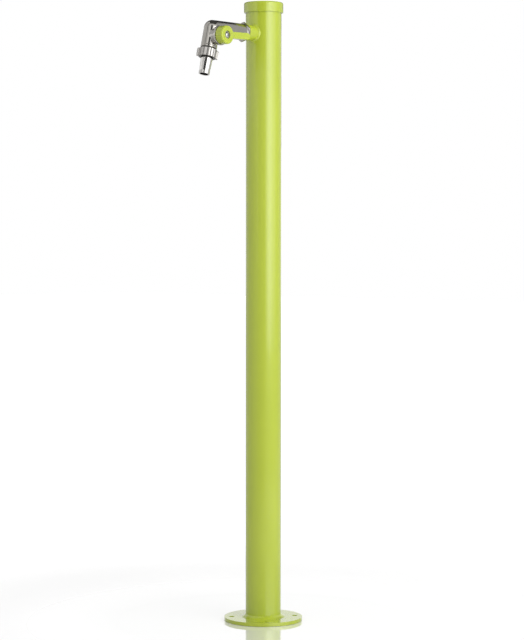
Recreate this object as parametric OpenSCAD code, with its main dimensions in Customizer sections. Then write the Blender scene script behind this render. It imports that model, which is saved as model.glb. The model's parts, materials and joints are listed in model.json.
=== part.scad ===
// Garden standpipe: a steel column on a foot plate, with a side-lever ball tap and a hose tail.
// Millimetres. The origin is the centre of the foot's underside, +Z is up, the tap points along -Y.

/* [Column] */
// Total height, from the floor to the top of the cap
total_h = 1050; // [700:5:1300]
// Outside diameter of the column tube
column_d = 60.3; // [54:0.1:76]
// Wall of the column tube
column_wall = 2; // [1.5:0.1:3]

/* [Top cap] */
// Height of the cap, skirt and top together
cap_h = 17.8; // [12:0.1:24]
// Wall of the cap's skirt
cap_wall = 2.8; // [1.5:0.1:4]
// Thickness of the cap's top
cap_top_t = 3; // [2:0.1:5]
// Radius of the cap's rounded top edge
cap_round = 2.2; // [0.5:0.1:2.5]
// Gap between the cap's skirt and the tube
cap_fit = 0.1; // [0.05:0.05:0.3]

/* [Foot] */
// Diameter of the foot plate
flange_d = 133; // [115:1:180]
// Thickness of the foot plate
flange_t = 6; // [4:0.5:12]
// Chamfer on the foot plate's edges
flange_chamfer = 0.8; // [0.3:0.1:1.5]
// Distance from the foot plate's edge to the anchor holes' centres
bolt_inset = 12.5; // [9:0.5:16]
// Diameter of the anchor holes
bolt_hole_d = 9; // [6:0.5:12]
// Number of anchor holes
bolt_count = 4; // [3:1:6]
// Height of the fillet weld round the tube's foot
foot_weld_h = 5; // [3:0.5:6]
// Width of that weld on the foot plate
foot_weld_w = 8; // [3:0.5:9]

/* [Pipe threads] */
// Outside diameter of the half-inch pipe thread
thread_d = 20.96; // [20:0.01:22]
// Radial play between screwed pieces
thread_fit = 0.05; // [0.03:0.01:0.1]
// Outside diameter of the welded sockets
socket_d = 26.4; // [25:0.1:30]

/* [Water inlet] */
// Depth of the inlet thread below the stop web
inlet_thread_len = 15; // [12:0.5:18]
// Thickness of the stop web inside the inlet socket
inlet_web_t = 2; // [1:0.5:4]
// Bore of the stop web
inlet_web_d = 15; // [10:0.5:17]
// Free thread between the stop web and the riser's connector
inlet_gap = 5; // [1:0.5:10]
// Leg of the weld round the inlet socket
inlet_weld_leg = 3; // [2:0.5:5]

/* [Riser] */
// Outside diameter of the riser pipe
riser_d = 15; // [12:0.5:15]
// Wall of the riser pipe
riser_wall = 1; // [0.7:0.1:1.5]
// Gap left at each end of the riser pipe
riser_gap = 0.5; // [0.2:0.1:2]
// Radial play of the riser pipe in its fittings
riser_fit = 0.05; // [0.03:0.01:0.1]
// Width across flats of the compression nuts
comp_af = 24; // [24:0.5:28]
// Screwed length of a compression nut on its fitting
comp_engage = 7.2; // [5:0.1:10]
// Free length between a compression nut and its fitting's body
comp_relief = 4.8; // [2:0.1:8]
// Thickness of a compression nut's end round the pipe
comp_nut_lip = 2; // [1.5:0.1:4]
// Depth to which the pipe enters a fitting
comp_socket_len = 9; // [6:0.5:10]
// Length of an olive
olive_len = 6; // [5:0.5:7]
// Thickness of an olive
olive_t = 1.3; // [1:0.1:1.6]
// Screwed length of the riser's fittings in the welded sockets
fitting_thread_len = 12; // [8:0.5:13]
// Height of the connector's hexagon
connector_hex_len = 6; // [4:0.5:10]
// Distance from the elbow's centre to its shoulder against the tap socket
elbow_leg = 13.5; // [12:0.5:16]
// Diameter of the elbow's body
elbow_d = 23; // [22:0.5:25]
// Diameter of the elbow's shoulder against the tap socket
elbow_shoulder_d = 24.4; // [23:0.1:26]
// Thickness of the elbow's shoulder
elbow_shoulder_t = 4; // [2:0.1:6]
// Widening of the bore at the elbow's centre
elbow_hollow = 0.3; // [0.1:0.1:1]

/* [Tap socket] */
// Distance of the tap's axis below the top of the cap
tap_drop = 54; // [45:0.5:90]
// Distance that the socket stands out of the column
socket_out = 19.2; // [12:0.1:30]
// Play of the socket in the column's hole
socket_fit = 0.1; // [0.05:0.05:0.3]
// Leg of the weld bead round the tap socket
socket_weld_leg = 2; // [2:0.5:4]
// Width of the weld bead's outer lip
weld_lip = 0.6; // [0.3:0.1:1]
// Thickness of the sealing ring between socket and tap
gasket_t = 2.5; // [1.5:0.1:4]
// Distance of the sealing ring's edge from the socket's edge
gasket_inset = 0.6; // [0.2:0.1:1]

/* [Tap body] */
// Screwed length of the tap in its socket
tap_thread_len = 13; // [8:0.5:15]
// Width across flats of the tap's hexagon
tap_af = 29.5; // [28:0.5:32]
// Angle of the tap's hexagon about the arm
tap_hex_turn = 20; // [0:1:59]
// Length of the tap's hexagon
tap_hex_len = 5; // [4:0.5:14]
// Distance from the hexagon to the outlet's axis
arm_len = 74.5; // [55:0.1:90]
// Diameter of the arm
arm_d = 27.2; // [24:0.1:30]
// Bore of the arm
arm_bore_d = 15; // [10:0.5:16]
// Narrow bore at the elbow
elbow_bore_d = 8.4; // [6:0.1:8.6]
// Length of the narrow bore at the elbow
elbow_bore_len = 22; // [16:0.5:30]
// Angle of the outlet, forward of straight down
spout_tilt = 15; // [0:1:20]
// Diameter of the outlet
spout_d = 26.8; // [26.6:0.1:30]
// Distance from the boss's edge to the end of the tap's body, along the outlet
spout_margin = 1.2; // [0.5:0.1:5]
// Distance from the arm's axis to the stem's axis, along the outlet
stem_drop = 13.5; // [13:0.1:14.5]
// Diameter of the stem's boss
boss_d = 32.6; // [28:0.1:36]
// Distance from the outlet's axis to the boss's face
boss_out = 23; // [22:0.1:23.5]
// Thickness of the boss's rim
boss_rim_t = 4; // [2:0.1:4.4]
// Length of the cone behind the boss's rim
boss_cone_h = 4.8; // [4:0.1:5]
// Height of the stop lug on the boss
stop_lug_h = 4; // [2:0.1:5]
// Width of the stop lug
stop_lug_w = 4; // [2:0.1:6]

/* [Valve] */
// Diameter of the ball
ball_d = 15; // [14:0.1:15.6]
// Bore through the ball
port_d = 9; // [6:0.1:9.4]
// Gap between the ball and the chamber
ball_gap = 0.3; // [0.2:0.05:0.6]
// Gap between the ball and its seats
seat_gap = 0.1; // [0.05:0.01:0.2]
// Distance from the ball's centre to a seat's back
seat_back = 6.6; // [6.4:0.1:7]
// Step from the ball's bore to a seat's bore
seat_step = 0.2; // [0.1:0.1:0.5]
// Thickness of a seat
seat_t = 2.2; // [1.5:0.1:3]
// Radial play of the pieces pushed into the chamber
chamber_fit = 0.05; // [0.03:0.01:0.1]
// Diameter of the stem's shaft
stem_d = 10; // [8.5:0.1:10.5]
// Running play of the stem in its bonnet
stem_fit = 0.05; // [0.02:0.01:0.1]
// Diameter of the stem's collar
collar_d = 12.4; // [11.6:0.1:12.6]
// Thickness of the stem's collar
collar_t = 1.6; // [1:0.1:2]
// Gap between the chamber and the stem's collar
collar_gap = 0.3; // [0.2:0.05:0.5]
// Thickness of the thrust washer
thrust_t = 0.8; // [0.5:0.1:1.2]
// Running gap between the thrust washer and the bonnet
thrust_gap = 0.1; // [0.05:0.05:0.2]
// Thickness of the stem's tang
tang_t = 3.6; // [2:0.1:4]
// Gap between the stem's tang and the seats
tang_gap = 0.3; // [0.2:0.1:1]
// Depth of the ball's slot
slot_depth = 2; // [1.5:0.1:2.2]
// Play of the tang in the ball's slot
slot_fit = 0.1; // [0.05:0.05:0.2]
// Diameter of the bonnet's screwed nose
nose_d = 16.4; // [15.6:0.1:17.5]
// Width across flats of the bonnet's hexagon
bonnet_af = 19; // [18:0.5:20]
// Height of the bonnet's hexagon
bonnet_h = 4; // [3:0.1:4.5]
// Thickness of the stem's sealing rings
stem_ring_t = 1; // [0.8:0.1:1.2]
// Thickness of the spigot's sealing ring
spigot_ring_t = 1.4; // [1:0.1:1.6]
// Play beside a sealing ring in its groove
ring_play = 0.05; // [0.03:0.01:0.1]

/* [Lever] */
// Diameter of the lever's hub
hub_d = 30.4; // [30:0.1:34]
// Distance from the outlet's axis to the hub's end face
hub_out = 37.5; // [35.5:0.1:44]
// Running gap between the boss and the hub
hub_gap = 0.5; // [0.3:0.1:1]
// Bore of the hub's hollow over the bonnet
hub_bore_d = 24; // [23.4:0.1:25]
// Gap between the hub's hollow and the bonnet's face
hollow_gap = 1.5; // [1:0.1:1.8]
// Distance from the stem's axis to the lever's tip
lever_len = 56.5; // [45:0.5:80]
// Height of the lever's bar
lever_w = 11; // [8:0.1:16]
// Thickness of the lever's bar
lever_t = 6; // [4:0.1:8]
// Step from the hub's end face to the bar's face
lever_step = 0.8; // [0:0.1:3]
// Angle at which the lever rests above level
lever_lift = 1.5; // [0:0.5:10]
// Travel of the lever
lever_travel = 90; // [60:1:100]
// Angle left free at each stop
stop_slack = 2; // [1:0.5:4]
// Side of the stem's square
square_w = 7; // [5.8:0.1:7]
// Play of the stem's square in the hub
square_fit = 0.1; // [0.05:0.05:0.2]
// Gap between the square's end and the washer
square_gap = 0.6; // [0.3:0.1:1]
// Depth of the recess for the screw's head
recess_depth = 3; // [2:0.1:3.2]
// Diameter of the recess for the screw's head
recess_d = 13; // [12.6:0.1:15]
// Diameter of the screw's thread
screw_d = 4.2; // [3:0.1:4.2]
// Play of the screw in the stem and the washer
screw_fit = 0.05; // [0.03:0.01:0.2]
// Length of the screw below its head
screw_len = 12; // [8:0.5:14]
// Diameter of the screw's head
screw_head_d = 10.5; // [8:0.1:11.5]
// Height of the screw's head
screw_head_h = 3.2; // [2:0.1:5]
// Width across flats of the screw's socket
screw_key_af = 5; // [2:0.1:5.5]
// Depth of the screw's socket
screw_key_depth = 1.8; // [1:0.1:1.8]
// Diameter of the washer under the screw
washer_d = 12; // [11:0.1:12.4]
// Thickness of the washer under the screw
washer_t = 1.2; // [0.8:0.1:2]

/* [Outlet] */
// Length of the spigot's collar below the tap's body
spigot_collar_len = 3.1; // [1.5:0.1:8]
// Outside diameter of the outlet thread
outlet_thread_d = 26.44; // [25:0.01:26.5]
// Length of the outlet thread
outlet_thread_len = 8.6; // [6:0.1:12]
// Bore of the outlet
outlet_bore_d = 9.6; // [8:0.1:10]
// Gap between the spigot's collar and the union nut
nut_gap = 2; // [0.3:0.1:2]
// Diameter of the union nut's round body
nut_d = 29.8; // [29:0.1:32]
// Thickness of the union nut's floor
nut_floor_t = 3.6; // [2:0.1:5]
// Running gap between the union nut's floor and the hose tail's flange
nut_play = 0.1; // [0.05:0.05:0.2]
// Running play of the outlet thread in the union nut
nut_fit = 0.08; // [0.05:0.01:0.1]
// Distance across the union nut's two ears
nut_span = 36; // [35.6:0.1:42]
// Thickness of an ear
ear_t = 5; // [3:0.1:7]
// Distance that an ear starts below the union nut's top
ear_top = 1; // [0.5:0.1:5]
// Distance that an ear hangs below the union nut's floor
ear_hang = 0.6; // [0:0.1:5]
// Radius of an ear's corners
ear_round = 2; // [1:0.1:2.4]
// Angle of the ears about the outlet, from +X
ear_angle = -48; // [-180:1:180]
// Number of grip flutes on each side of the union nut
flute_count = 6; // [4:1:6]
// Angle from flute to flute
flute_step = 24; // [15:1:26]
// Radius of a flute
flute_r = 1.8; // [1:0.1:3]
// Depth of a flute
flute_depth = 0.5; // [0.2:0.1:0.8]
// Thickness of the union's washer
union_washer_t = 2; // [1:0.1:3]
// Thickness of the hose tail's flange
tail_flange_t = 1.9; // [1.5:0.1:4]
// Diameter of the first barb
barb_d = 20; // [18:0.1:22]
// Diameter of the hose tail's plain end
tail_end_d = 18; // [16:0.1:20]
// Length of the hose tail's plain end
tail_end_len = 5; // [1.5:0.1:6]
// Depth of a barb
barb_depth = 0.8; // [0.3:0.1:1]
// Number of barbs
barb_count = 3; // [3:1:6]
// Distance from barb to barb
barb_pitch = 6.9; // [4:0.1:9]
// Bore of the hose tail
tail_bore_d = 14; // [10:0.1:14]
// Running gap between the first barb and the union nut's floor
tail_gap = 2.6; // [0.2:0.1:4]
// Radial gap between the first barb and the union nut's hole
nut_hole_gap = 0.15; // [0.1:0.05:0.3]

/* [Hidden] */
$fn = 96;
// Overshoot of cuts
cut = 1;
paint = "yellowgreen";
plate = "silver";

column_r = column_d / 2;
column_bore_r = column_r - column_wall;
tube_top = total_h - cap_top_t;
cap_r = column_r + cap_fit + cap_wall;
flange_r = flange_d / 2;
bolt_pcd = flange_d - 2 * bolt_inset;
// Angle of the first anchor hole, from +X
bolt_turn = 45;

thread_r = thread_d / 2;
thread_bore_r = thread_r + thread_fit;
socket_r = socket_d / 2;
// Corner radius of a hexagon over half its width across flats
hex_ratio = 1 / cos(30);
// Slope of the turned ends of a hexagon
hex_slope = 0.5;

// Riser
riser_r = riser_d / 2;
riser_bore_r = riser_r - riser_wall;
riser_socket_r = riser_r + riser_fit;
olive_r = riser_r + olive_t;
olive_cone = olive_t - riser_fit;
olive_start = riser_fit - olive_cone;
comp_floor = olive_start + olive_len - olive_cone;
comp_nut_end = comp_floor + olive_cone + comp_nut_lip;
comp_end_len = comp_engage + comp_relief;
inlet_web_top = inlet_thread_len + inlet_web_t;
inlet_h = inlet_web_top + inlet_gap + fitting_thread_len;
connector_end = inlet_h + connector_hex_len + comp_end_len;
tap_z = total_h - tap_drop;
elbow_r = elbow_d / 2;
elbow_end = tap_z - elbow_r - comp_end_len;

// Tap, measured along its arm from the column's axis
socket_end = column_r + socket_out;
hex_start = socket_end + gasket_t;
hex_end = hex_start + tap_hex_len;
reach = hex_end + arm_len;
gasket_r = socket_r - gasket_inset;
arm_r = arm_d / 2;
spout_r = spout_d / 2;

// Valve, measured along the stem from the outlet's axis
ball_r = ball_d / 2;
port_r = port_d / 2;
chamber_r = ball_r + ball_gap;
seat_r = chamber_r - chamber_fit;
seat_bore_r = port_r + seat_step;
stem_r = stem_d / 2;
stem_bore_r = stem_r + stem_fit;
collar_r = collar_d / 2;
collar_start = chamber_r + collar_gap;
collar_end = collar_start + collar_t;
thrust_end = collar_end + thrust_t;
nose_start = thrust_end + thrust_gap;
nose_r = nose_d / 2;
bonnet_end = boss_out + bonnet_h;
boss_r = boss_d / 2;
spout_len = stem_drop + boss_r + spout_margin;
tang_start = ball_r - slot_depth + slot_fit;
// The tang's corners turn inside the seats
tang_corner_r = seat_back - seat_t - tang_gap;
tang_len = 2 * sqrt(tang_corner_r * tang_corner_r - tang_t * tang_t / 4);
stem_ring_groove = stem_ring_t + 2 * ring_play;
stem_ring_pitch = (bonnet_end - nose_start) / 3;

// Lever, measured along the stem from the outlet's axis
hub_r = hub_d / 2;
hub_start = boss_out + hub_gap;
hub_bore_r = hub_bore_d / 2;
web_start = bonnet_end + hollow_gap;
recess_floor = hub_out - recess_depth;
square_end = recess_floor - square_gap;
head_start = recess_floor + washer_t;
bar_end = hub_out - lever_step;
stop_r = (hub_r + hub_bore_r) / 2;
stop_half = asin(stop_lug_w / 2 / stop_r);
// Angle of the stop lug about the stem, from straight down
stop_angle = 101;

// Outlet, measured along the outlet from the arm's axis
spigot_start = stem_drop + seat_back;
collar_low = spout_len + spigot_collar_len;
thread_low = collar_low + outlet_thread_len;
washer_low = thread_low + union_washer_t;
flange_low = washer_low + tail_flange_t;
nut_top = collar_low + nut_gap;
nut_seat = flange_low + nut_play;
nut_low = nut_seat + nut_floor_t;
outlet_thread_r = outlet_thread_d / 2;
nut_bore_r = outlet_thread_r + nut_fit;
outlet_bore_r = outlet_bore_d / 2;
spigot_r = chamber_r - chamber_fit;
spigot_groove_r = chamber_r - spigot_ring_t - ring_play;
spigot_groove_w = spigot_ring_t + 2 * ring_play;
spigot_groove_mid = (spigot_start + spout_len) / 2;
barb_r = barb_d / 2;
tail_end_r = tail_end_d / 2;
tail_bore_r = tail_bore_d / 2;
barb_start = nut_low + tail_gap;
barb_end = barb_start + barb_count * barb_pitch;
tail_low = barb_end + tail_end_len;
barb_taper = (barb_r - tail_end_r) / barb_count;

// Frames and shared shapes

// +Z runs out along the tap's arm, from the column's axis
module on_arm() {
    translate([0, 0, tap_z]) rotate([90, 0, 0]) children();
}

// +Z runs down along the outlet, from the arm's axis
module on_spout() {
    translate([0, -reach, tap_z]) rotate([180 - spout_tilt, 0, 0]) children();
}

// +Z runs out along the stem, from the outlet's axis
module on_stem() {
    on_spout() translate([0, 0, stem_drop]) rotate([spout_tilt - 180, 0, 0]) rotate([0, 90, 0]) children();
}

module bar(r, from, to) {
    translate([0, 0, from]) cylinder(r = r, h = to - from);
}

module ring(r_out, r_in, from, to) {
    difference() {
        bar(r_out, from, to);
        bar(r_in, from - cut, to + cut);
    }
}

// Hexagon with both ends turned down to its flats
module hexagon(af, from, to) {
    corner_r = af / 2 * hex_ratio;
    flat_r = af / 2;
    wide_r = corner_r + cut;
    drop = (wide_r - flat_r) * hex_slope;
    intersection() {
        translate([0, 0, from]) cylinder(r = corner_r, h = to - from, $fn = 6);
        rotate_extrude() polygon([
            [0, from], [flat_r, from], [wide_r, from + drop], [wide_r, to - drop], [flat_r, to], [0, to]
        ]);
    }
}

// Fillet weld round an upright tube
module fillet_weld(r, w, h, base) {
    rotate_extrude() polygon([
        [r, base], [r + w, base], [r + w, base + weld_lip], [r + weld_lip, base + h], [r, base + h]
    ]);
}

// Sealing ring of round section
module o_ring(r_mid, t) {
    rotate_extrude() translate([r_mid, 0]) circle(d = t, $fn = 32);
}

// Bore of a riser fitting, from its end face at z = 0 down to the pipe's stop
module comp_socket_cut() {
    bar(riser_socket_r, -comp_socket_len, cut);
    translate([0, 0, -olive_cone]) cylinder(r1 = riser_socket_r, r2 = olive_r, h = olive_cone);
}

module olive() {
    rotate_extrude() translate([0, olive_start]) polygon([
        [riser_r, 0], [riser_r + riser_fit, 0], [olive_r, olive_cone],
        [olive_r, olive_len - olive_cone], [riser_r + riser_fit, olive_len], [riser_r, olive_len]
    ]);
}

// Nut over a riser fitting's end face at z = 0, with the pipe leaving along +Z
module compression_nut() {
    difference() {
        hexagon(comp_af, -comp_engage, comp_nut_end);
        bar(thread_bore_r, -comp_engage - cut, comp_floor);
        translate([0, 0, comp_floor])
            cylinder(r1 = olive_r + riser_fit, r2 = riser_socket_r + riser_fit, h = olive_cone);
        bar(riser_socket_r + riser_fit, comp_floor, comp_nut_end + cut);
    }
}

// Column and foot

module column_tube() {
    color(paint) difference() {
        ring(column_r, column_bore_r, flange_t, tube_top);
        on_arm() bar(socket_r + socket_fit, 0, column_r + cut);
    }
}

module top_cap() {
    color(paint) rotate_extrude() difference() {
        union() {
            translate([0, total_h - cap_h]) square([cap_r, cap_h - cap_round]);
            translate([0, total_h - cap_round - cut]) square([cap_r - cap_round, cap_round + cut]);
            intersection() {
                translate([cap_r - cap_round, total_h - cap_round]) circle(r = cap_round);
                translate([0, total_h - cap_h]) square([cap_r, cap_h]);
            }
        }
        translate([0, total_h - cap_h - cut]) square([column_r + cap_fit, cap_h - cap_top_t + cut]);
    }
}

module base_flange() {
    color(paint) difference() {
        rotate_extrude() polygon([
            [0, 0], [flange_r - flange_chamfer, 0], [flange_r, flange_chamfer],
            [flange_r, flange_t - flange_chamfer], [flange_r - flange_chamfer, flange_t], [0, flange_t]
        ]);
        bar(socket_r + socket_fit, -cut, flange_t + cut);
        for (i = [0 : bolt_count - 1])
            rotate([0, 0, bolt_turn + i * 360 / bolt_count])
                translate([bolt_pcd / 2, 0, 0]) bar(bolt_hole_d / 2, -cut, flange_t + cut);
    }
}

module foot_weld() {
    color(paint) fillet_weld(column_r, foot_weld_w, foot_weld_h, flange_t);
}

module tap_socket() {
    color(paint) on_arm() ring(socket_r, thread_bore_r, elbow_leg, socket_end);
}

module socket_weld() {
    foot_r = socket_r + socket_weld_leg;
    sag = column_r - sqrt(column_r * column_r - foot_r * foot_r);
    color(paint) difference() {
        on_arm() translate([0, 0, column_r - sag])
            cylinder(r1 = foot_r, r2 = socket_r + weld_lip, h = sag + socket_weld_leg);
        on_arm() bar(socket_r, 0, socket_end);
        bar(column_r, 0, total_h);
    }
}

// Water inlet and riser

module inlet_socket() {
    color("gray") difference() {
        bar(socket_r, 0, inlet_h);
        bar(thread_bore_r, -cut, inlet_thread_len);
        bar(inlet_web_d / 2, 0, inlet_h);
        bar(thread_bore_r, inlet_web_top, inlet_h + cut);
    }
}

module inlet_weld() {
    color("gray") fillet_weld(socket_r, inlet_weld_leg, inlet_weld_leg, flange_t);
}

module inlet_connector() {
    color("goldenrod") difference() {
        union() {
            bar(thread_r, inlet_h - fitting_thread_len, connector_end);
            hexagon(comp_af, inlet_h, inlet_h + connector_hex_len);
        }
        bar(riser_bore_r, 0, connector_end + cut);
        translate([0, 0, connector_end]) comp_socket_cut();
    }
}

module lower_olive() {
    color("goldenrod") translate([0, 0, connector_end]) olive();
}

module lower_compression_nut() {
    color("goldenrod") translate([0, 0, connector_end]) compression_nut();
}

module riser_pipe() {
    low = connector_end - comp_socket_len + riser_gap;
    high = elbow_end + comp_socket_len - riser_gap;
    color("peru") ring(riser_r, riser_bore_r, low, high);
}

module upper_compression_nut() {
    color("goldenrod") translate([0, 0, elbow_end]) mirror([0, 0, 1]) compression_nut();
}

module upper_olive() {
    color("goldenrod") translate([0, 0, elbow_end]) mirror([0, 0, 1]) olive();
}

module riser_elbow() {
    color("goldenrod") difference() {
        union() {
            translate([0, 0, tap_z]) sphere(r = elbow_r);
            bar(thread_r, elbow_end, tap_z);
            on_arm() bar(elbow_shoulder_d / 2, elbow_leg - elbow_shoulder_t, elbow_leg);
            on_arm() bar(thread_r, 0, elbow_leg + fitting_thread_len);
        }
        bar(riser_bore_r, elbow_end - cut, tap_z);
        translate([0, 0, tap_z]) sphere(r = riser_bore_r + elbow_hollow);
        on_arm() bar(riser_bore_r, 0, elbow_leg + fitting_thread_len + cut);
        translate([0, 0, elbow_end]) mirror([0, 0, 1]) comp_socket_cut();
    }
}

// Tap

module socket_gasket() {
    color("black") on_arm() ring(gasket_r, thread_bore_r, socket_end, hex_start);
}

// Arm with a domed end at the outlet's axis
module arm_shape() {
    rotate_extrude() {
        translate([0, hex_start]) square([arm_r, reach - hex_start]);
        intersection() {
            translate([0, reach]) circle(r = arm_r);
            translate([0, reach]) square(2 * arm_r);
        }
    }
}

module boss_shape() {
    rim_start = boss_out - boss_rim_t;
    cone_start = rim_start - boss_cone_h;
    neck_r = boss_r - boss_cone_h;
    bar(neck_r, 0, cone_start);
    translate([0, 0, cone_start]) cylinder(r1 = neck_r, r2 = boss_r, h = boss_cone_h);
    bar(boss_r, rim_start, boss_out);
    rotate([0, 0, stop_angle])
        translate([hub_bore_r + hub_gap, -stop_lug_w / 2, boss_out - cut])
            cube([hub_r - hub_bore_r - 2 * hub_gap, stop_lug_w, stop_lug_h + cut]);
}

module tap_body() {
    color(plate) difference() {
        union() {
            on_arm() bar(thread_r, hex_start - tap_thread_len, hex_start);
            on_arm() rotate([0, 0, tap_hex_turn]) hexagon(tap_af, hex_start, hex_end);
            on_arm() arm_shape();
            on_spout() bar(spout_r, 0, spout_len);
            on_stem() boss_shape();
        }
        on_arm() bar(arm_bore_d / 2, hex_start - tap_thread_len - cut, reach - elbow_bore_len);
        on_arm() bar(elbow_bore_d / 2, 0, reach);
        on_spout() bar(seat_bore_r, 0, spout_len);
        on_spout() bar(chamber_r, stem_drop - seat_back, spout_len + cut);
        on_stem() bar(collar_r + collar_gap, 0, boss_out);
        on_stem() bar(nose_r + thread_fit, nose_start, boss_out + cut);
    }
}

module bonnet() {
    color(plate) on_stem() difference() {
        union() {
            bar(nose_r, nose_start, boss_out);
            hexagon(bonnet_af, boss_out, bonnet_end);
        }
        bar(stem_bore_r, nose_start - cut, bonnet_end + cut);
    }
}

module outlet_spigot() {
    color(plate) on_spout() difference() {
        union() {
            bar(spigot_r, spigot_start, spout_len);
            bar(spout_r, spout_len, collar_low);
            bar(outlet_thread_r, collar_low, thread_low);
        }
        bar(outlet_bore_r, spigot_start - cut, thread_low + cut);
        ring(spigot_r + cut, spigot_groove_r, spigot_groove_mid - spigot_groove_w / 2,
            spigot_groove_mid + spigot_groove_w / 2);
    }
}

module spigot_o_ring() {
    color("black") on_spout() translate([0, 0, spigot_groove_mid])
        o_ring(chamber_r - (spigot_ring_t + ring_play) / 2, spigot_ring_t);
}

// Valve

// Seat ring with its back away from the ball, which is centred at z = 0
module seat() {
    difference() {
        ring(seat_r, seat_bore_r, seat_back - seat_t, seat_back);
        sphere(r = ball_r + seat_gap);
    }
}

module upper_seat() {
    color("white") on_spout() translate([0, 0, stem_drop]) mirror([0, 0, 1]) seat();
}

module lower_seat() {
    color("white") on_spout() translate([0, 0, stem_drop]) seat();
}

module valve_ball() {
    slot_w = tang_t + 2 * slot_fit;
    color(plate) on_spout() translate([0, 0, stem_drop]) difference() {
        rotate([90, 0, 180]) rotate_extrude() intersection() {
            circle(r = ball_r);
            translate([port_r, -ball_r]) square(ball_d);
        }
        translate([ball_r - slot_depth, -slot_w / 2, -ball_d])
            cube([ball_d, slot_w, 2 * ball_d]);
    }
}

module valve_stem() {
    color("goldenrod") on_stem() difference() {
        union() {
            rotate([0, 0, -spout_tilt]) translate([-tang_len / 2, -tang_t / 2, tang_start])
                cube([tang_len, tang_t, collar_start - tang_start]);
            bar(collar_r, collar_start, collar_end);
            bar(stem_r, collar_end, web_start);
            rotate([0, 0, lever_lift]) translate([-square_w / 2, -square_w / 2, web_start])
                cube([square_w, square_w, square_end - web_start]);
        }
        for (i = [1, 2])
            translate([0, 0, nose_start + i * stem_ring_pitch - stem_ring_groove / 2])
                ring(stem_r + cut, stem_bore_r - stem_ring_groove, 0, stem_ring_groove);
        bar(screw_d / 2 + screw_fit, head_start - screw_len - cut, square_end + cut);
    }
}

module stem_o_rings() {
    color("black") on_stem()
        for (i = [1, 2])
            translate([0, 0, nose_start + i * stem_ring_pitch])
                o_ring(stem_bore_r - stem_ring_groove / 2, stem_ring_t);
}

module thrust_washer() {
    color("white") on_stem() ring(collar_r, stem_bore_r, collar_end, thrust_end);
}

// Lever

module lever_handle() {
    notch = lever_travel + 2 * stop_half + 2 * stop_slack;
    color(paint) on_stem() rotate([0, 0, lever_lift]) difference() {
        union() {
            bar(hub_r, hub_start, hub_out);
            translate([-lever_w / 2, 0, bar_end - lever_t])
                cube([lever_w, lever_len - lever_w / 2, lever_t]);
            translate([0, lever_len - lever_w / 2, 0]) bar(lever_w / 2, bar_end - lever_t, bar_end);
        }
        bar(hub_bore_r, hub_start - cut, web_start);
        bar(recess_d / 2, recess_floor, hub_out + cut);
        translate([-square_w / 2 - square_fit, -square_w / 2 - square_fit, web_start - cut])
            cube([square_w + 2 * square_fit, square_w + 2 * square_fit, hub_out]);
        rotate([0, 0, stop_angle - lever_lift - stop_half - stop_slack])
            rotate_extrude(angle = notch)
                translate([hub_bore_r - cut, hub_start - cut])
                    square([hub_r - hub_bore_r + 2 * cut, stop_lug_h + cut + hub_gap]);
    }
}

module lever_washer() {
    color("silver") on_stem() ring(washer_d / 2, screw_d / 2 + screw_fit, recess_floor, head_start);
}

module lever_screw() {
    head_r = screw_head_d / 2;
    dome_r = (head_r * head_r + screw_head_h * screw_head_h) / (2 * screw_head_h);
    color("silver") on_stem() difference() {
        union() {
            bar(screw_d / 2, head_start - screw_len, head_start);
            intersection() {
                translate([0, 0, head_start + screw_head_h - dome_r]) sphere(r = dome_r);
                bar(head_r + cut, head_start, head_start + screw_head_h + cut);
            }
        }
        translate([0, 0, head_start + screw_head_h - screw_key_depth])
            cylinder(r = screw_key_af / 2 * hex_ratio, h = screw_key_depth + cut, $fn = 6);
    }
}

// Outlet

// Outline of one ear: distance from the outlet's axis against distance along it
module ear_outline() {
    tip = nut_span / 2;
    top = nut_top + ear_top;
    low = nut_low + ear_hang;
    root = (nut_bore_r + nut_d / 2) / 2;
    polygon([
        [root, top], [tip - ear_round, top], [tip, top + ear_round], [tip, low - ear_round],
        [tip - ear_round, low], [nut_d / 2, nut_low], [root, nut_low]
    ]);
    translate([tip - ear_round, top + ear_round]) circle(r = ear_round);
    translate([tip - ear_round, low - ear_round]) circle(r = ear_round);
}

module union_nut() {
    color(plate) on_spout() rotate([0, 0, ear_angle]) difference() {
        union() {
            bar(nut_d / 2, nut_top, nut_low);
            for (side = [0, 180])
                rotate([0, 0, side]) translate([0, ear_t / 2, 0]) rotate([90, 0, 0])
                    linear_extrude(ear_t) ear_outline();
        }
        bar(nut_bore_r, nut_top - cut, nut_seat);
        bar(barb_r + nut_hole_gap, nut_top, nut_low + cut);
        for (side = [90, 270], i = [0 : flute_count - 1])
            rotate([0, 0, side + (i - (flute_count - 1) / 2) * flute_step])
                translate([nut_d / 2 + flute_r - flute_depth, 0, 0])
                    bar(flute_r, nut_top - cut, nut_low + cut);
    }
}

module hose_tail() {
    barbs = [
        for (i = [0 : barb_count - 1])
            each [
                [barb_r - i * barb_taper, barb_start + i * barb_pitch],
                [barb_r - i * barb_taper - barb_depth, barb_start + (i + 1) * barb_pitch]
            ]
    ];
    color(plate) on_spout() rotate_extrude() polygon(concat(
        [[tail_bore_r, washer_low], [outlet_thread_r, washer_low], [outlet_thread_r, flange_low]],
        [[barb_r - barb_depth, flange_low], [barb_r - barb_depth, barb_start]],
        barbs,
        [[tail_end_r, barb_end], [tail_end_r, tail_low], [tail_bore_r, tail_low]]
    ));
}

module union_washer() {
    color("black") on_spout() ring(outlet_thread_r, tail_bore_r, thread_low, washer_low);
}

column_tube();
top_cap();
base_flange();
foot_weld();
tap_socket();
socket_weld();
inlet_socket();
inlet_weld();
inlet_connector();
lower_olive();
lower_compression_nut();
riser_pipe();
upper_compression_nut();
upper_olive();
riser_elbow();
socket_gasket();
tap_body();
outlet_spigot();
spigot_o_ring();
upper_seat();
lower_seat();
bonnet();
valve_ball();
valve_stem();
stem_o_rings();
thrust_washer();
lever_handle();
lever_washer();
lever_screw();
union_nut();
hose_tail();
union_washer();
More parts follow.
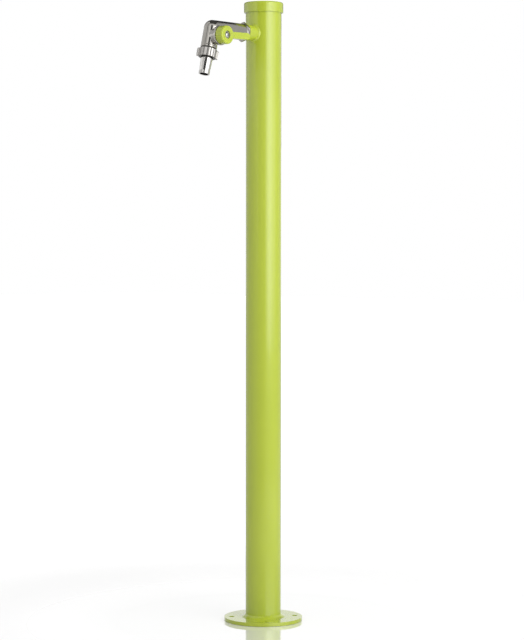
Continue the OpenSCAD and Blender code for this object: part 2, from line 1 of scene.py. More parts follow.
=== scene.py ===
"""Looks of a garden standpipe: a painted steel column with a side-lever ball tap and a hose tail.

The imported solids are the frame. Each piece that shows is modelled again in the place of its solid, with
welds, threads and soft edges. Each inner piece keeps its solid and gets its finish here. Units are metres.
"""
import json
import logging
import math
from abc import ABC, abstractmethod
from collections.abc import Iterable, Sequence
from dataclasses import dataclass, field
from enum import Enum

import bpy
from mathutils import Euler, Matrix, Vector


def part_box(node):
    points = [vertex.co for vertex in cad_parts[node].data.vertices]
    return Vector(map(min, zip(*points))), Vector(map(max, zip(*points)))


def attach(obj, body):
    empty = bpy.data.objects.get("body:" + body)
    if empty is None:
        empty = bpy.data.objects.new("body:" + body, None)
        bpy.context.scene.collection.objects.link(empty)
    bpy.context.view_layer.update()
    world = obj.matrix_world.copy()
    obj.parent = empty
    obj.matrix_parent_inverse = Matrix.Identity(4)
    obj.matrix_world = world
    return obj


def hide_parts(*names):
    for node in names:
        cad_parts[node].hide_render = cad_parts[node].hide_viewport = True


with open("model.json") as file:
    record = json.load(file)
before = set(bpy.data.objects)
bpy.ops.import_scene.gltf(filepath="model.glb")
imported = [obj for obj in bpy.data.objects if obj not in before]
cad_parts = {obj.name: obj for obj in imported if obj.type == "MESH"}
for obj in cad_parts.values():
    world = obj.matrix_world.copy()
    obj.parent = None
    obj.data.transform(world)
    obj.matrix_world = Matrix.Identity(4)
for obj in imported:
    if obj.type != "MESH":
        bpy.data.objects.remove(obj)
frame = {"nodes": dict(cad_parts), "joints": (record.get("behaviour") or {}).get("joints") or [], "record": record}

LOG = logging.getLogger("standpipe")
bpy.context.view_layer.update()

Object = bpy.types.Object
Material = bpy.types.Material
Node = bpy.types.Node
Socket = bpy.types.NodeSocket
Tree = bpy.types.NodeTree
Colour = tuple[float, float, float]
Station = tuple[float, float]

# Distance under which points count as one
MERGE = 2e-6
# Distance under which a point counts as on a ring
NEAR = 10 * MERGE
# Overshoot of cuts
OVERSHOOT = 0.001
# Number of faces round a turned piece
ROUND = 128
# Angles in degrees
QUARTER_TURN = 90.0
HALF_TURN = 180.0
# Number of a hexagon's sides, and its corner radius over half its width across flats
HEX_SIDES = 6
HEX_RATIO = 1 / math.cos(math.pi / HEX_SIDES)
# Angle between faces, in degrees, up to which they are shaded as one
SMOOTH_ANGLE = 40.0
# Share by which each pass of smoothing moves a point
SMOOTHING = 0.5
# Millimetres of the record in a metre
MM_PER_M = 1000
WHITE = (1, 1, 1, 1)


class Body(Enum):
    """Bodies that pieces ride on."""

    STANDPIPE = "standpipe"
    LEVER = "lever"
    HOSE_TAIL = "hose_tail"
    UNION_NUT = "union_nut"


class Slot(Enum):
    """Material slots of the record."""

    LIME_PAINT = "lime_paint"
    LEVER_PAINT = "lever_paint"
    PLATED_BRASS = "plated_brass"
    BARE_BRASS = "bare_brass"
    COPPER = "copper"
    BARE_STEEL = "bare_steel"
    ZINC_STEEL = "zinc_steel"
    BLACK_RUBBER = "black_rubber"
    WHITE_SEAL = "white_seal"


class Joining(Enum):
    """Ways in which one shape changes another."""

    ADD = "UNION"
    CUT = "DIFFERENCE"
    KEEP = "INTERSECT"


# Places read from the frame


def joint(name: str) -> dict:
    """Return the frame's joint of that name."""
    return next(j for j in frame["joints"] if j["name"] == name)


@dataclass(frozen=True)
class Axis:
    """A line that pieces are modelled about.

    Attributes:
        origin: Point on the line from which stations are measured.
        along: Unit vector along the line.
        across: Unit vector that a piece's own x axis takes.
    """

    origin: Vector
    along: Vector
    across: Vector

    def matrix(self) -> Matrix:
        """Return the matrix that takes a piece modelled about Z to this line."""
        third = self.along.cross(self.across)
        turned = Matrix((self.across, third, self.along)).transposed()
        return Matrix.Translation(self.origin) @ turned.to_4x4()

    def span(self, node: str) -> tuple[float, float]:
        """Return the lowest and highest station of a CAD node."""
        stations = [(v.co - self.origin).dot(self.along) for v in frame["nodes"][node].data.vertices]
        return min(stations), max(stations)

    def radius(self, node: str) -> float:
        """Return the largest distance of a CAD node from the line."""
        return max(self.away(v.co) for v in frame["nodes"][node].data.vertices)

    def away(self, point: Vector) -> float:
        """Return the distance of a point from the line."""
        offset = point - self.origin
        return (offset - offset.dot(self.along) * self.along).length


def tap_height() -> float:
    """Return the height of the tap's arm, which is the middle of its socket."""
    low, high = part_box("tap_socket")
    return (low.z + high.z) / 2


def outlet_axis() -> Axis:
    """Return the outlet's line, measured from the arm's height."""
    along = Vector(joint("union_travel")["axis"]).normalized()
    through = Vector(joint("nut_turn")["pos_m"])
    origin = through + along * ((tap_height() - through.z) / along.z)
    return Axis(origin, along, Vector((1, 0, 0)))


ARM = Axis(Vector((0, 0, tap_height())), Vector((0, -1, 0)), Vector((1, 0, 0)))
OUTLET = outlet_axis()
STEM = Axis(Vector(joint("lever_turn")["pos_m"]), Vector((1, 0, 0)), Vector((0, 1, 0)))
COLUMN_LINE = Axis(Vector((0, 0, 0)), Vector((0, 0, 1)), Vector((1, 0, 0)))


# Modelling moves


class Bench:
    """Modelling moves that the sub-assemblies share."""

    @staticmethod
    def pick(piece: Object) -> None:
        """Make a piece the only selected object and the active one."""
        bpy.ops.object.select_all(action="DESELECT")
        piece.select_set(True)
        bpy.context.view_layer.objects.active = piece

    @staticmethod
    def settle(piece: Object) -> Object:
        """Put a piece's place, turn and scale into its mesh."""
        Bench.pick(piece)
        bpy.ops.object.transform_apply(location=True, rotation=True, scale=True)
        return piece

    @staticmethod
    def place(piece: Object, axis: Axis, turn: float = 0.0) -> Object:
        """Take a piece modelled about Z to an axis.

        Args:
            piece: The piece, at the origin.
            axis: The line that its Z goes to.
            turn: Angle by which it is turned about that line first.

        Returns:
            The same piece.
        """
        piece.matrix_world = axis.matrix() @ Matrix.Rotation(turn, 4, "Z")
        return Bench.settle(piece)

    @staticmethod
    def newest(name: str) -> Object:
        """Name the object that was just added and return it."""
        bpy.context.object.name = name
        return bpy.context.object

    @staticmethod
    def edit(piece: Object, chosen: Iterable[int] | None = None) -> None:
        """Go into edit mode with some of a piece's points selected.

        Args:
            piece: The piece.
            chosen: Numbers of those points, or None for all of them.
        """
        Bench.pick(piece)
        bpy.ops.object.mode_set(mode="EDIT")
        bpy.ops.mesh.select_mode(type="VERT")
        bpy.ops.mesh.select_all(action="SELECT" if chosen is None else "DESELECT")
        bpy.ops.object.mode_set(mode="OBJECT")
        for index in chosen or []:
            piece.data.vertices[index].select = True
        bpy.ops.object.mode_set(mode="EDIT")

    @staticmethod
    def mend() -> None:
        """Join up the mesh that is in edit mode, face it outward and leave that mode."""
        bpy.ops.mesh.select_all(action="SELECT")
        bpy.ops.mesh.remove_doubles(threshold=MERGE)
        bpy.ops.mesh.normals_make_consistent(inside=False)
        bpy.ops.object.mode_set(mode="OBJECT")

    @staticmethod
    def turned(name: str, outline: Sequence[Station], bored: bool = False, segments: int = ROUND) -> Object:
        """Turn an outline about Z, ring by ring.

        Args:
            name: Name of the new object.
            outline: Radius and height of each ring, in order.
            bored: True if the outline closes on itself round a bore.
            segments: Number of faces round the piece.

        Returns:
            The new object.
        """
        radius, height = outline[0]
        fill = "NOTHING" if bored else "NGON"
        bpy.ops.mesh.primitive_circle_add(
            vertices=segments, radius=radius, fill_type=fill, location=(0, 0, height)
        )
        bpy.ops.object.mode_set(mode="EDIT")
        for next_radius, next_height in [*outline[1:], *(outline[:1] if bored else [])]:
            bpy.ops.mesh.extrude_region_move(
                TRANSFORM_OT_translate={"value": (0, 0, next_height - height)}
            )
            ratio = next_radius / radius
            bpy.ops.transform.resize(value=(ratio, ratio, 1), center_override=(0, 0, next_height))
            radius, height = next_radius, next_height
        Bench.mend()
        return Bench.settle(Bench.newest(name))

    @staticmethod
    def ring(name: str, bore: float, radius: float, ends: Station, segments: int = ROUND) -> Object:
        """Turn a plain ring about Z.

        Args:
            name: Name of the new object.
            bore: Radius of its bore.
            radius: Radius of its outside.
            ends: Heights of its ends.
            segments: Number of faces round it.

        Returns:
            The new object.
        """
        low, high = ends
        outline = [(bore, low), (radius, low), (radius, high), (bore, high)]
        return Bench.turned(name, outline, bored=True, segments=segments)

    @staticmethod
    def peg(
        name: str, radius: float, ends: Station, centre: Station = (0, 0), segments: int = ROUND
    ) -> Object:
        """Add a round peg along Z.

        Args:
            name: Name of the new object.
            radius: Radius of the peg.
            ends: Heights of its ends.
            centre: Place of its middle line.
            segments: Number of faces round it.

        Returns:
            The new object.
        """
        peg = Bench.turned(name, [(radius, height) for height in ends], segments=segments)
        peg.location = (*centre, 0)
        return Bench.settle(peg)

    @staticmethod
    def block(name: str, low: Sequence[float], high: Sequence[float]) -> Object:
        """Add a block.

        Args:
            name: Name of the new object.
            low: Its low corner.
            high: Its high corner.

        Returns:
            The new object.
        """
        middle = [(a + b) / 2 for a, b in zip(low, high)]
        bpy.ops.mesh.primitive_cube_add(size=1, location=middle)
        piece = Bench.newest(name)
        piece.scale = [b - a for a, b in zip(low, high)]
        return Bench.settle(piece)

    @staticmethod
    def section(name: str, corners: Sequence[Station]) -> Object:
        """Add a four-sided face in the plane of X and Z.

        Args:
            name: Name of the new object.
            corners: Radius and height of each corner, in two rows.

        Returns:
            The new object.
        """
        bpy.ops.mesh.primitive_plane_add(size=1, location=(0, 0, 0))
        face = Bench.newest(name)
        for point, (radius, height) in zip(face.data.vertices, corners):
            point.co = (radius, 0, height)
        return face

    @staticmethod
    def hexagon(name: str, across_flats: float, low: float, high: float, turned_ends: bool = True) -> Object:
        """Add a hexagonal prism along Z with a corner on +Y.

        Args:
            name: Name of the new object.
            across_flats: Width across its flats.
            low: Height of its lower end.
            high: Height of its upper end.
            turned_ends: True if both ends are turned down to the flats.

        Returns:
            The new object.
        """
        corner = across_flats / 2 * HEX_RATIO
        bpy.ops.mesh.primitive_cylinder_add(
            vertices=HEX_SIDES, radius=corner, depth=high - low, location=(0, 0, (low + high) / 2)
        )
        piece = Bench.settle(Bench.newest(name))
        if turned_ends:
            wide = corner + OVERSHOOT
            drop = (wide - across_flats / 2) / 2
            Bench.combine(piece, Bench.turned("ends", [
                (across_flats / 2, low - MERGE), (wide, low + drop), (wide, high - drop),
                (across_flats / 2, high + MERGE),
            ]), Joining.KEEP)
        return piece

    @staticmethod
    def apply(piece: Object, kind: str, **settings: object) -> Object:
        """Add a modifier and apply it.

        Args:
            piece: The piece.
            kind: Type of the modifier.
            settings: Properties of the modifier.

        Returns:
            The same piece.
        """
        Bench.pick(piece)
        modifier = piece.modifiers.new(kind.lower(), kind)
        for key, value in settings.items():
            setattr(modifier, key, value)
        bpy.ops.object.modifier_apply(modifier=modifier.name)
        return piece

    @staticmethod
    def combine(piece: Object, tool: Object, how: Joining) -> Object:
        """Add, cut or keep what a second shape covers, and delete that shape.

        Args:
            piece: The piece.
            tool: The second shape.
            how: What is done with it.

        Returns:
            The same piece.
        """
        Bench.apply(piece, "BOOLEAN", operation=how.value, object=tool, solver="MANIFOLD")
        bpy.data.objects.remove(tool)
        return piece

    @staticmethod
    def soften(piece: Object, width: float, segments: int = 3, angle: float = 30.0) -> Object:
        """Round every edge that is sharper than an angle in degrees."""
        return Bench.apply(
            piece, "BEVEL", width=width, segments=segments, limit_method="ANGLE",
            angle_limit=math.radians(angle), harden_normals=False,
        )

    @staticmethod
    def cast(piece: Object, grain: float, passes: int) -> Object:
        """Melt joined shapes into one skin with soft corners.

        Args:
            piece: The piece.
            grain: Size of the skin's faces.
            passes: Number of times that the skin is smoothed.

        Returns:
            The same piece.
        """
        Bench.apply(piece, "REMESH", mode="VOXEL", voxel_size=grain, use_smooth_shade=True)
        return Bench.apply(piece, "SMOOTH", factor=SMOOTHING, iterations=passes)


def arc(centre: Station, radius: float, start: float, end: float, steps: int) -> list[Station]:
    """Return points of an arc of an outline, both ends included.

    Args:
        centre: Radius and height of the arc's centre.
        radius: Radius of the arc.
        start: Angle of its first point, from outward, in degrees.
        end: Angle of its last point.
        steps: Number of steps from first to last.

    Returns:
        The points, as radius and height.
    """
    angles = [math.radians(start + (end - start) * i / steps) for i in range(steps + 1)]
    return [(centre[0] + radius * math.cos(a), centre[1] + radius * math.sin(a)) for a in angles]


# Shader node helpers and shared patterns


class ShaderTree:
    """A node tree with short calls to add nodes and link them."""

    def __init__(self, tree: Tree) -> None:
        """Start from an empty tree."""
        self.tree = tree
        tree.nodes.clear()

    def add(self, kind: str, inputs: dict | None = None, **settings: object) -> Node:
        """Add a node.

        Args:
            kind: Type name of the node.
            inputs: Values or sockets for its inputs, by name or number.
            settings: Properties of the node.

        Returns:
            The new node.
        """
        node = self.tree.nodes.new(kind)
        for key, value in settings.items():
            setattr(node, key, value)
        self.feed(node, inputs or {})
        return node

    def feed(self, node: Node, inputs: dict) -> None:
        """Give a node's inputs their values or link them to sockets.

        Args:
            node: The node.
            inputs: Values or sockets, by name or number of the input.
        """
        for key, value in inputs.items():
            if isinstance(value, Socket):
                self.tree.links.new(value, node.inputs[key])
            else:
                node.inputs[key].default_value = value

    def math(self, operation: str, first: object, second: object) -> Socket:
        """Add a Math node and return its result."""
        return self.add("ShaderNodeMath", {0: first, 1: second}, operation=operation).outputs[0]

    def length(self, vector: Socket) -> Socket:
        """Add a Vector Math node and return the length that it works out."""
        return self.add("ShaderNodeVectorMath", {0: vector}, operation="LENGTH").outputs["Value"]

    def spread(self, value: Socket, source: Station, target: Station) -> Socket:
        """Add a Map Range node from one span to another and return its result."""
        return self.add("ShaderNodeMapRange", {
            "Value": value, "From Min": source[0], "From Max": source[1],
            "To Min": target[0], "To Max": target[1],
        }).outputs["Result"]

    def blend(self, share: Socket, first: Colour, second: Colour) -> Socket:
        """Mix two colours.

        Args:
            share: Socket with the share of the second colour.
            first: The first colour.
            second: The second colour.

        Returns:
            Socket with the mixed colour.
        """
        node = self.add("ShaderNodeMix", {"Factor": share}, data_type="RGBA")
        colours = [s for s in node.inputs if s.type == "RGBA"]
        for socket, colour in zip(colours, (first, second)):
            socket.default_value = (*colour, 1)
        return next(s for s in node.outputs if s.type == "RGBA")

    def fade(self, target: Socket, hidden: object, shown: Socket) -> None:
        """Fade what feeds a socket to another value where a share is 0.

        Args:
            target: Socket that is already fed, of a colour or a number.
            hidden: Value where the share is 0.
            shown: Socket with the share of what fed the target.
        """
        kind = "RGBA" if target.type == "RGBA" else "VALUE"
        node = self.add("ShaderNodeMix", data_type="RGBA" if kind == "RGBA" else "FLOAT")
        first, second = [s for s in node.inputs if s.type == kind and s.name in ("A", "B")]
        factor = next(s for s in node.inputs if s.name == "Factor" and s.type == "VALUE")
        first.default_value = hidden
        self.tree.links.new(target.links[0].from_socket, second)
        self.tree.links.new(shown, factor)
        self.tree.links.new(next(s for s in node.outputs if s.type == kind), target)

    def about(self, axis: Axis, place: Socket) -> Socket:
        """Add a Mapping node that measures a place about an axis and return its result."""
        back = axis.matrix().inverted()
        return self.add("ShaderNodeMapping", {
            "Vector": place, "Location": back.translation, "Rotation": back.to_euler(),
        }).outputs["Vector"]


@dataclass(frozen=True)
class Pattern:
    """A texture that is built once, as a node group, for several finishes.

    Attributes:
        name: Name of the group.
        kind: Type name of its texture node.
        inputs: Values for the texture's inputs.
        span: Levels of the texture that its mask stretches to 0 and 1.
        settings: Properties of the texture node.
    """

    name: str
    kind: str
    inputs: dict[str, float]
    span: Station = (0, 1)
    settings: dict[str, str] = field(default_factory=dict)

    def group(self) -> Tree:
        """Return the pattern's group, made on first use."""
        return bpy.data.node_groups.get(self.name) or self.made()

    def made(self) -> Tree:
        """Make the group, which takes a place and a feature size and gives a height and a mask."""
        group = bpy.data.node_groups.new(self.name, "ShaderNodeTree")
        sockets = {"Place": ("INPUT", "Vector"), "Size": ("INPUT", "Float"),
                   "Height": ("OUTPUT", "Float"), "Mask": ("OUTPUT", "Float")}
        for name, (way, kind) in sockets.items():
            group.interface.new_socket(name=name, in_out=way, socket_type=f"NodeSocket{kind}")
        tree = ShaderTree(group)
        source = tree.add("NodeGroupInput")
        scale = tree.math("DIVIDE", 1.0, source.outputs["Size"])
        texture = tree.add(self.kind, {
            "Vector": source.outputs["Place"], "Scale": scale, **self.inputs,
        }, **self.settings)
        height = texture.outputs["Fac"]
        tree.add("NodeGroupOutput", {"Height": height, "Mask": tree.spread(height, self.span, (0, 1))})
        return group

    def put(self, tree: ShaderTree, place: Socket, size: float) -> Node:
        """Place the pattern in a material.

        Args:
            tree: The material's node tree.
            place: Socket with the place on the piece.
            size: Size of the pattern's features.

        Returns:
            The group node.
        """
        return tree.add("ShaderNodeGroup", {"Place": place, "Size": size}, node_tree=self.group())


# Fine skin of sprayed powder and of cast metal
GRAIN = Pattern("fine_grain", "ShaderNodeTexNoise", {"Detail": 1.5, "Roughness": 0.45}, (0.35, 0.65))
# Slow change of tone over a surface
DRIFT = Pattern("tone_drift", "ShaderNodeTexNoise", {"Detail": 3.0, "Roughness": 0.55}, (0.3, 0.7))
# Fine rings that a turning tool leaves, across the place's Z
LINES = Pattern("turning_lines", "ShaderNodeTexWave", {"Distortion": 0.6, "Detail": 1.0},
                settings={"bands_direction": "Z"})


# Finishes

# Stations that no piece reaches, for a plate without a neck of painted shade
NO_NECK = (-1.0, -0.9)
# Length below the nut of the hose tail's neck that gets painted shade
SHADED_NECK_BELOW_NUT = 0.0012


def new_material(name: str) -> tuple[Material, ShaderTree]:
    """Return a new material of that name and its empty node tree."""
    material = bpy.data.materials.new(name)
    material.use_nodes = True
    return material, ShaderTree(material.node_tree)


@dataclass(frozen=True)
class Finish(ABC):
    """A surface finish.

    Attributes:
        name: Name of the material.
        slot: Slot of the record that the finish belongs to; not used.
        colour: Main colour.
        deep: Colour that the main one drifts to.
    """

    name: str
    slot: Slot
    colour: Colour
    deep: Colour

    def material(self) -> Material:
        """Return the finish's material, made on first use."""
        found = bpy.data.materials.get(self.name)
        return found if found else self.made()

    def made(self) -> Material:
        """Make the material: a Principled shader that the finish fills in."""
        material, tree = new_material(self.name)
        shader = tree.add("ShaderNodeBsdfPrincipled")
        tree.add("ShaderNodeOutputMaterial", {"Surface": shader.outputs["BSDF"]})
        self.fill(tree, shader, tree.add("ShaderNodeTexCoord").outputs["Object"])
        return material

    @abstractmethod
    def fill(self, tree: ShaderTree, shader: Node, place: Socket) -> None:
        """Link the finish's colours, roughness and relief to the shader.

        Args:
            tree: The material's node tree.
            shader: The Principled shader.
            place: Socket with the place on the piece.
        """

    def cover(
        self, tree: ShaderTree, shader: Node, patterns: Sequence[Node], gloss: Station, depth: float
    ) -> None:
        """Link patterns to the shader.

        Args:
            tree: The material's node tree.
            shader: The Principled shader.
            patterns: Group nodes that lead the colour, the roughness and the relief, in this order.
            gloss: Least and greatest roughness.
            depth: Depth of the relief.
        """
        tone, sheen, skin = patterns
        bump = tree.add("ShaderNodeBump", {
            "Height": skin.outputs["Height"], "Strength": 1.0, "Distance": depth,
        })
        tree.feed(shader, {
            "Base Color": tree.blend(tone.outputs["Mask"], self.colour, self.deep),
            "Roughness": tree.spread(sheen.outputs["Mask"], (0, 1), gloss),
            "Normal": bump.outputs["Normal"],
        })


@dataclass(frozen=True)
class PowderCoat(Finish):
    """Semi-gloss powder paint with a fine orange peel."""

    peel_size: float = 0.0017
    peel_depth: float = 0.000022
    drift_size: float = 0.11
    gloss: Station = (0.20, 0.27)
    coat: float = 0.8
    coat_gloss: float = 0.08

    def fill(self, tree: ShaderTree, shader: Node, place: Socket) -> None:
        """Link drifting paint, mottled gloss and orange peel."""
        tree.feed(shader, {"Coat Weight": self.coat, "Coat Roughness": self.coat_gloss})
        drift = DRIFT.put(tree, place, self.drift_size)
        peel = GRAIN.put(tree, place, self.peel_size)
        self.cover(tree, shader, (drift, peel, peel), self.gloss, self.peel_depth)


@dataclass(frozen=True)
class PlatedMetal(Finish):
    """Bright plated or bare metal with a slightly uneven polish."""

    polish: Station = (0.09, 0.17)
    drift_size: float = 0.014
    skin_size: float = 0.0035
    skin_depth: float = 0.00001

    def fill(self, tree: ShaderTree, shader: Node, place: Socket) -> None:
        """Link drifting metal colour, uneven polish and a faint cast skin."""
        tree.feed(shader, {"Metallic": 1.0})
        drift = DRIFT.put(tree, place, self.drift_size)
        skin = GRAIN.put(tree, place, self.skin_size)
        self.cover(tree, shader, (drift, drift, skin), self.polish, self.skin_depth)


@dataclass(frozen=True)
class HollowPlate(PlatedMetal):
    """Plated metal with painted shade: darker and rougher inside a radius and along a neck, where shade falls in
    roots, bores and gaps.
    """

    axis: Axis = COLUMN_LINE
    radius: float = 0.01
    fade: float = 0.0003
    neck: Station = NO_NECK
    painted_shade: Colour = (0.045, 0.042, 0.038)
    painted_shade_polish: float = 0.6

    def fill(self, tree: ShaderTree, shader: Node, place: Socket) -> None:
        """Link the plate's look outside the radius and the neck, and the painted shade inside them."""
        super().fill(tree, shader, place)
        own = tree.about(self.axis, place)
        flat = tree.add("ShaderNodeVectorMath", {0: own, 1: (1, 1, 0)}, operation="MULTIPLY")
        away = tree.length(flat.outputs[0])
        along = tree.add("ShaderNodeSeparateXYZ", {"Vector": own}).outputs["Z"]
        start, end = self.neck
        before = tree.spread(along, (start - self.fade, start), (1, 0))
        after = tree.spread(along, (end, end + self.fade), (0, 1))
        beyond = tree.spread(away, (self.radius - self.fade, self.radius), (0, 1))
        shown = tree.math("MINIMUM", beyond, tree.math("MAXIMUM", before, after))
        # Painted shade: colour and roughness fade to the shaded values inside the radius and along the neck
        for name, painted_shade in (("Base Color", (*self.painted_shade, 1)), ("Roughness", self.painted_shade_polish)):
            tree.fade(shader.inputs[name], painted_shade, shown)


@dataclass(frozen=True)
class TurnedMetal(Finish):
    """Metal with the fine rings of a lathe about one axis."""

    axis: Axis = COLUMN_LINE
    polish: Station = (0.16, 0.28)
    drift_size: float = 0.02
    line_pitch: float = 0.0004
    line_depth: float = 0.000004

    def fill(self, tree: ShaderTree, shader: Node, place: Socket) -> None:
        """Link drifting metal colour and rings square to the axis."""
        tree.feed(shader, {"Metallic": 1.0})
        drift = DRIFT.put(tree, place, self.drift_size)
        rings = LINES.put(tree, tree.about(self.axis, place), self.line_pitch)
        self.cover(tree, shader, (drift, drift, rings), self.polish, self.line_depth)


@dataclass(frozen=True)
class MouldedSeal(Finish):
    """Rubber or plastic seal with a matt moulded skin."""

    skin_size: float = 0.0006
    skin_depth: float = 0.00001
    gloss: Station = (0.5, 0.7)

    def fill(self, tree: ShaderTree, shader: Node, place: Socket) -> None:
        """Link mottled colour, gloss and skin."""
        skin = GRAIN.put(tree, place, self.skin_size)
        self.cover(tree, shader, (skin, skin, skin), self.gloss, self.skin_depth)


LIME = (0.440, 0.525, 0.034)
LIME_DEEP = (0.420, 0.507, 0.031)
PAINT = PowderCoat("lime_powder_coat", Slot.LIME_PAINT, LIME, LIME_DEEP)
LEVER_PAINT = PowderCoat("lever_powder_coat", Slot.LEVER_PAINT, LIME, LIME_DEEP, peel_size=0.0013)
PLATE = (0.56, 0.54, 0.50)
PLATE_DEEP = (0.51, 0.49, 0.45)
NICKEL = PlatedMetal("nickel_plate", Slot.PLATED_BRASS, PLATE, PLATE_DEEP)
# Painted shade in the thread's roots and the spigot's bores, inside the radius
NICKEL_THREAD = HollowPlate(
    "nickel_thread", Slot.PLATED_BRASS, PLATE, PLATE_DEEP, axis=OUTLET, radius=0.01253
)
# Painted shade in the grip flutes' roots and the nut's bores, on a lighter copy of the nickel plate that is
# painted light
NICKEL_GRIP = HollowPlate(
    "nickel_grip", Slot.PLATED_BRASS, (0.62, 0.60, 0.57), (0.56, 0.54, 0.51), axis=OUTLET, radius=0.01475,
    painted_shade=(0.2, 0.195, 0.185), painted_shade_polish=0.4,
)
# Painted light and shade: a lighter copy of the nickel plate brightens the tail, the neck under the nut is painted
# shade, and the dark bore is partly unplated metal, partly painted shade
NICKEL_TAIL = HollowPlate(
    "nickel_tail", Slot.PLATED_BRASS, (0.80, 0.78, 0.75), (0.74, 0.72, 0.69), axis=OUTLET, radius=0.0072,
    neck=(OUTLET.span("hose_tail")[0], OUTLET.span("union_nut")[1] + SHADED_NECK_BELOW_NUT),
    painted_shade=(0.13, 0.126, 0.12), painted_shade_polish=0.25,
)
BRASS = TurnedMetal("turned_brass", Slot.BARE_BRASS, (0.72, 0.53, 0.25), (0.66, 0.47, 0.20))
COPPER = TurnedMetal("drawn_copper", Slot.COPPER, (0.72, 0.40, 0.26), (0.62, 0.32, 0.20), line_pitch=0.0009)
STEEL = PlatedMetal("galvanised_steel", Slot.BARE_STEEL, (0.52, 0.52, 0.51), (0.42, 0.43, 0.43), (0.35, 0.5))
ZINC = PlatedMetal("zinc_plate", Slot.ZINC_STEEL, (0.68, 0.68, 0.67), (0.60, 0.60, 0.60), (0.16, 0.26))
RUBBER = MouldedSeal("black_rubber", Slot.BLACK_RUBBER, (0.016, 0.016, 0.016), (0.026, 0.026, 0.025))
SEAL = MouldedSeal("white_seal", Slot.WHITE_SEAL, (0.85, 0.85, 0.83), (0.78, 0.78, 0.75), gloss=(0.35, 0.5))


def dress(piece: Object, finish: Finish) -> None:
    """Give a piece one finish all over."""
    piece.data.materials.clear()
    piece.data.materials.append(finish.material())


def fit(piece: Object, body: Body, finish: Finish, node: str, machined: bool = False) -> None:
    """Finish a new piece and let it stand for its solid.

    Args:
        piece: The new piece, in its place.
        body: Body that it rides on.
        finish: Its finish.
        node: CAD node that it stands for.
        machined: True if its wide faces stay flat up to their soft edges.
    """
    Bench.pick(piece)
    bpy.ops.object.shade_smooth_by_angle(angle=math.radians(SMOOTH_ANGLE))
    if machined:
        Bench.apply(piece, "WEIGHTED_NORMAL", keep_sharp=True)
    dress(piece, finish)
    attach(piece, body.value)
    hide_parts(node)
    LOG.info("%s stands for %s: %d faces", piece.name, node, len(piece.data.polygons))


# Sub-assemblies


@dataclass
class WeldBead:
    """A fillet weld round a tube that stands on a surface, with the ripples of a welder's pass.

    Attributes:
        radius: Radius of the tube.
        width: Width of the weld on the surface.
        height: Height of the weld on the tube.
        ripples: Number of ripples round it.
        crown: Height of the bead's crown over a straight fillet.
        ripple_depth: Depth of a ripple.
        waver: Depth of the bead's uneven surface.
        sweep: Distance by which the crown runs ahead, as a share of a ripple.
        waver_span: Size of the uneven places, as a share of the weld's width.
        points_per_ripple: Number of points round the bead for each ripple.
        rows: Number of rows of faces from the tube to the surface.
        sunk: Depth by which the bead's back goes into tube and surface.
    """

    radius: float
    width: float
    height: float
    ripples: int
    crown: float
    ripple_depth: float
    waver: float
    sweep: float = 0.9
    waver_span: float = 1.2
    points_per_ripple: int = 4
    rows: int = 8
    sunk: float = 0.0004

    def face(self) -> list[Station]:
        """Return the bead's outline from the tube down to the surface."""
        points = []
        for i in range(self.rows + 1):
            share = i / self.rows
            lift = self.crown * math.sin(math.pi * share) / math.sqrt(2)
            points.append((self.radius + self.width * share + lift, self.height * (1 - share) + lift))
        return points

    def build(self, name: str) -> Object:
        """Build the bead round Z, on the plane through the origin.

        Args:
            name: Name of the new object.

        Returns:
            The new object.
        """
        face = self.face()
        hidden = [(self.radius + self.width, -self.sunk), (self.radius - self.sunk, -self.sunk),
                  (self.radius - self.sunk, self.height)]
        count = self.ripples * self.points_per_ripple
        bead = Bench.turned(name, face + hidden, bored=True, segments=count)
        for row in face[1:-1]:
            self.ripple(bead, row, count)
        self.roughen(bead)
        return Bench.apply(bead, "SUBSURF", levels=1, render_levels=1)

    def ripple(self, bead: Object, row: Station, count: int) -> None:
        """Press the ripples into one ring of the bead and run its crown ahead.

        Args:
            bead: The bead, about Z.
            row: Radius and height of the ring.
            count: Number of points round it.
        """
        step = 2 * math.pi / count
        points = bead.data.vertices
        ring = [p.index for p in points if math.hypot(p.co.xy.length - row[0], p.co.z - row[1]) < NEAR]
        turns = {i: round(math.atan2(points[i].co.y, points[i].co.x) / step) for i in ring}
        grooves = [i for i, turn in turns.items() if turn % self.points_per_ripple == 0]
        Bench.edit(bead, grooves)
        bpy.ops.transform.shrink_fatten(value=-self.ripple_depth)
        bpy.ops.object.mode_set(mode="OBJECT")
        rise = (row[0] - self.radius) / self.width
        ahead = self.sweep * math.sin(math.pi * min(rise, 1.0)) * step * self.points_per_ripple
        Bench.edit(bead, ring)
        bpy.ops.transform.rotate(value=ahead, orient_axis="Z", center_override=(0, 0, 0))
        bpy.ops.object.mode_set(mode="OBJECT")

    def roughen(self, bead: Object) -> None:
        """Make the bead's face uneven, as a hand pass leaves it.

        Args:
            bead: The bead, about Z.
        """
        shown = bead.vertex_groups.new(name="face")
        outside = [p for p in bead.data.vertices if p.co.xy.length > self.radius + MERGE]
        shown.add([p.index for p in outside if p.co.z > MERGE], 1.0, "REPLACE")
        clouds = bpy.data.textures.new(f"{bead.name}_waver", "CLOUDS")
        clouds.noise_scale = self.width * self.waver_span
        Bench.apply(
            bead, "DISPLACE", texture=clouds, texture_coords="LOCAL", strength=self.waver,
            vertex_group=shown.name,
        )
        bead.vertex_groups.clear()


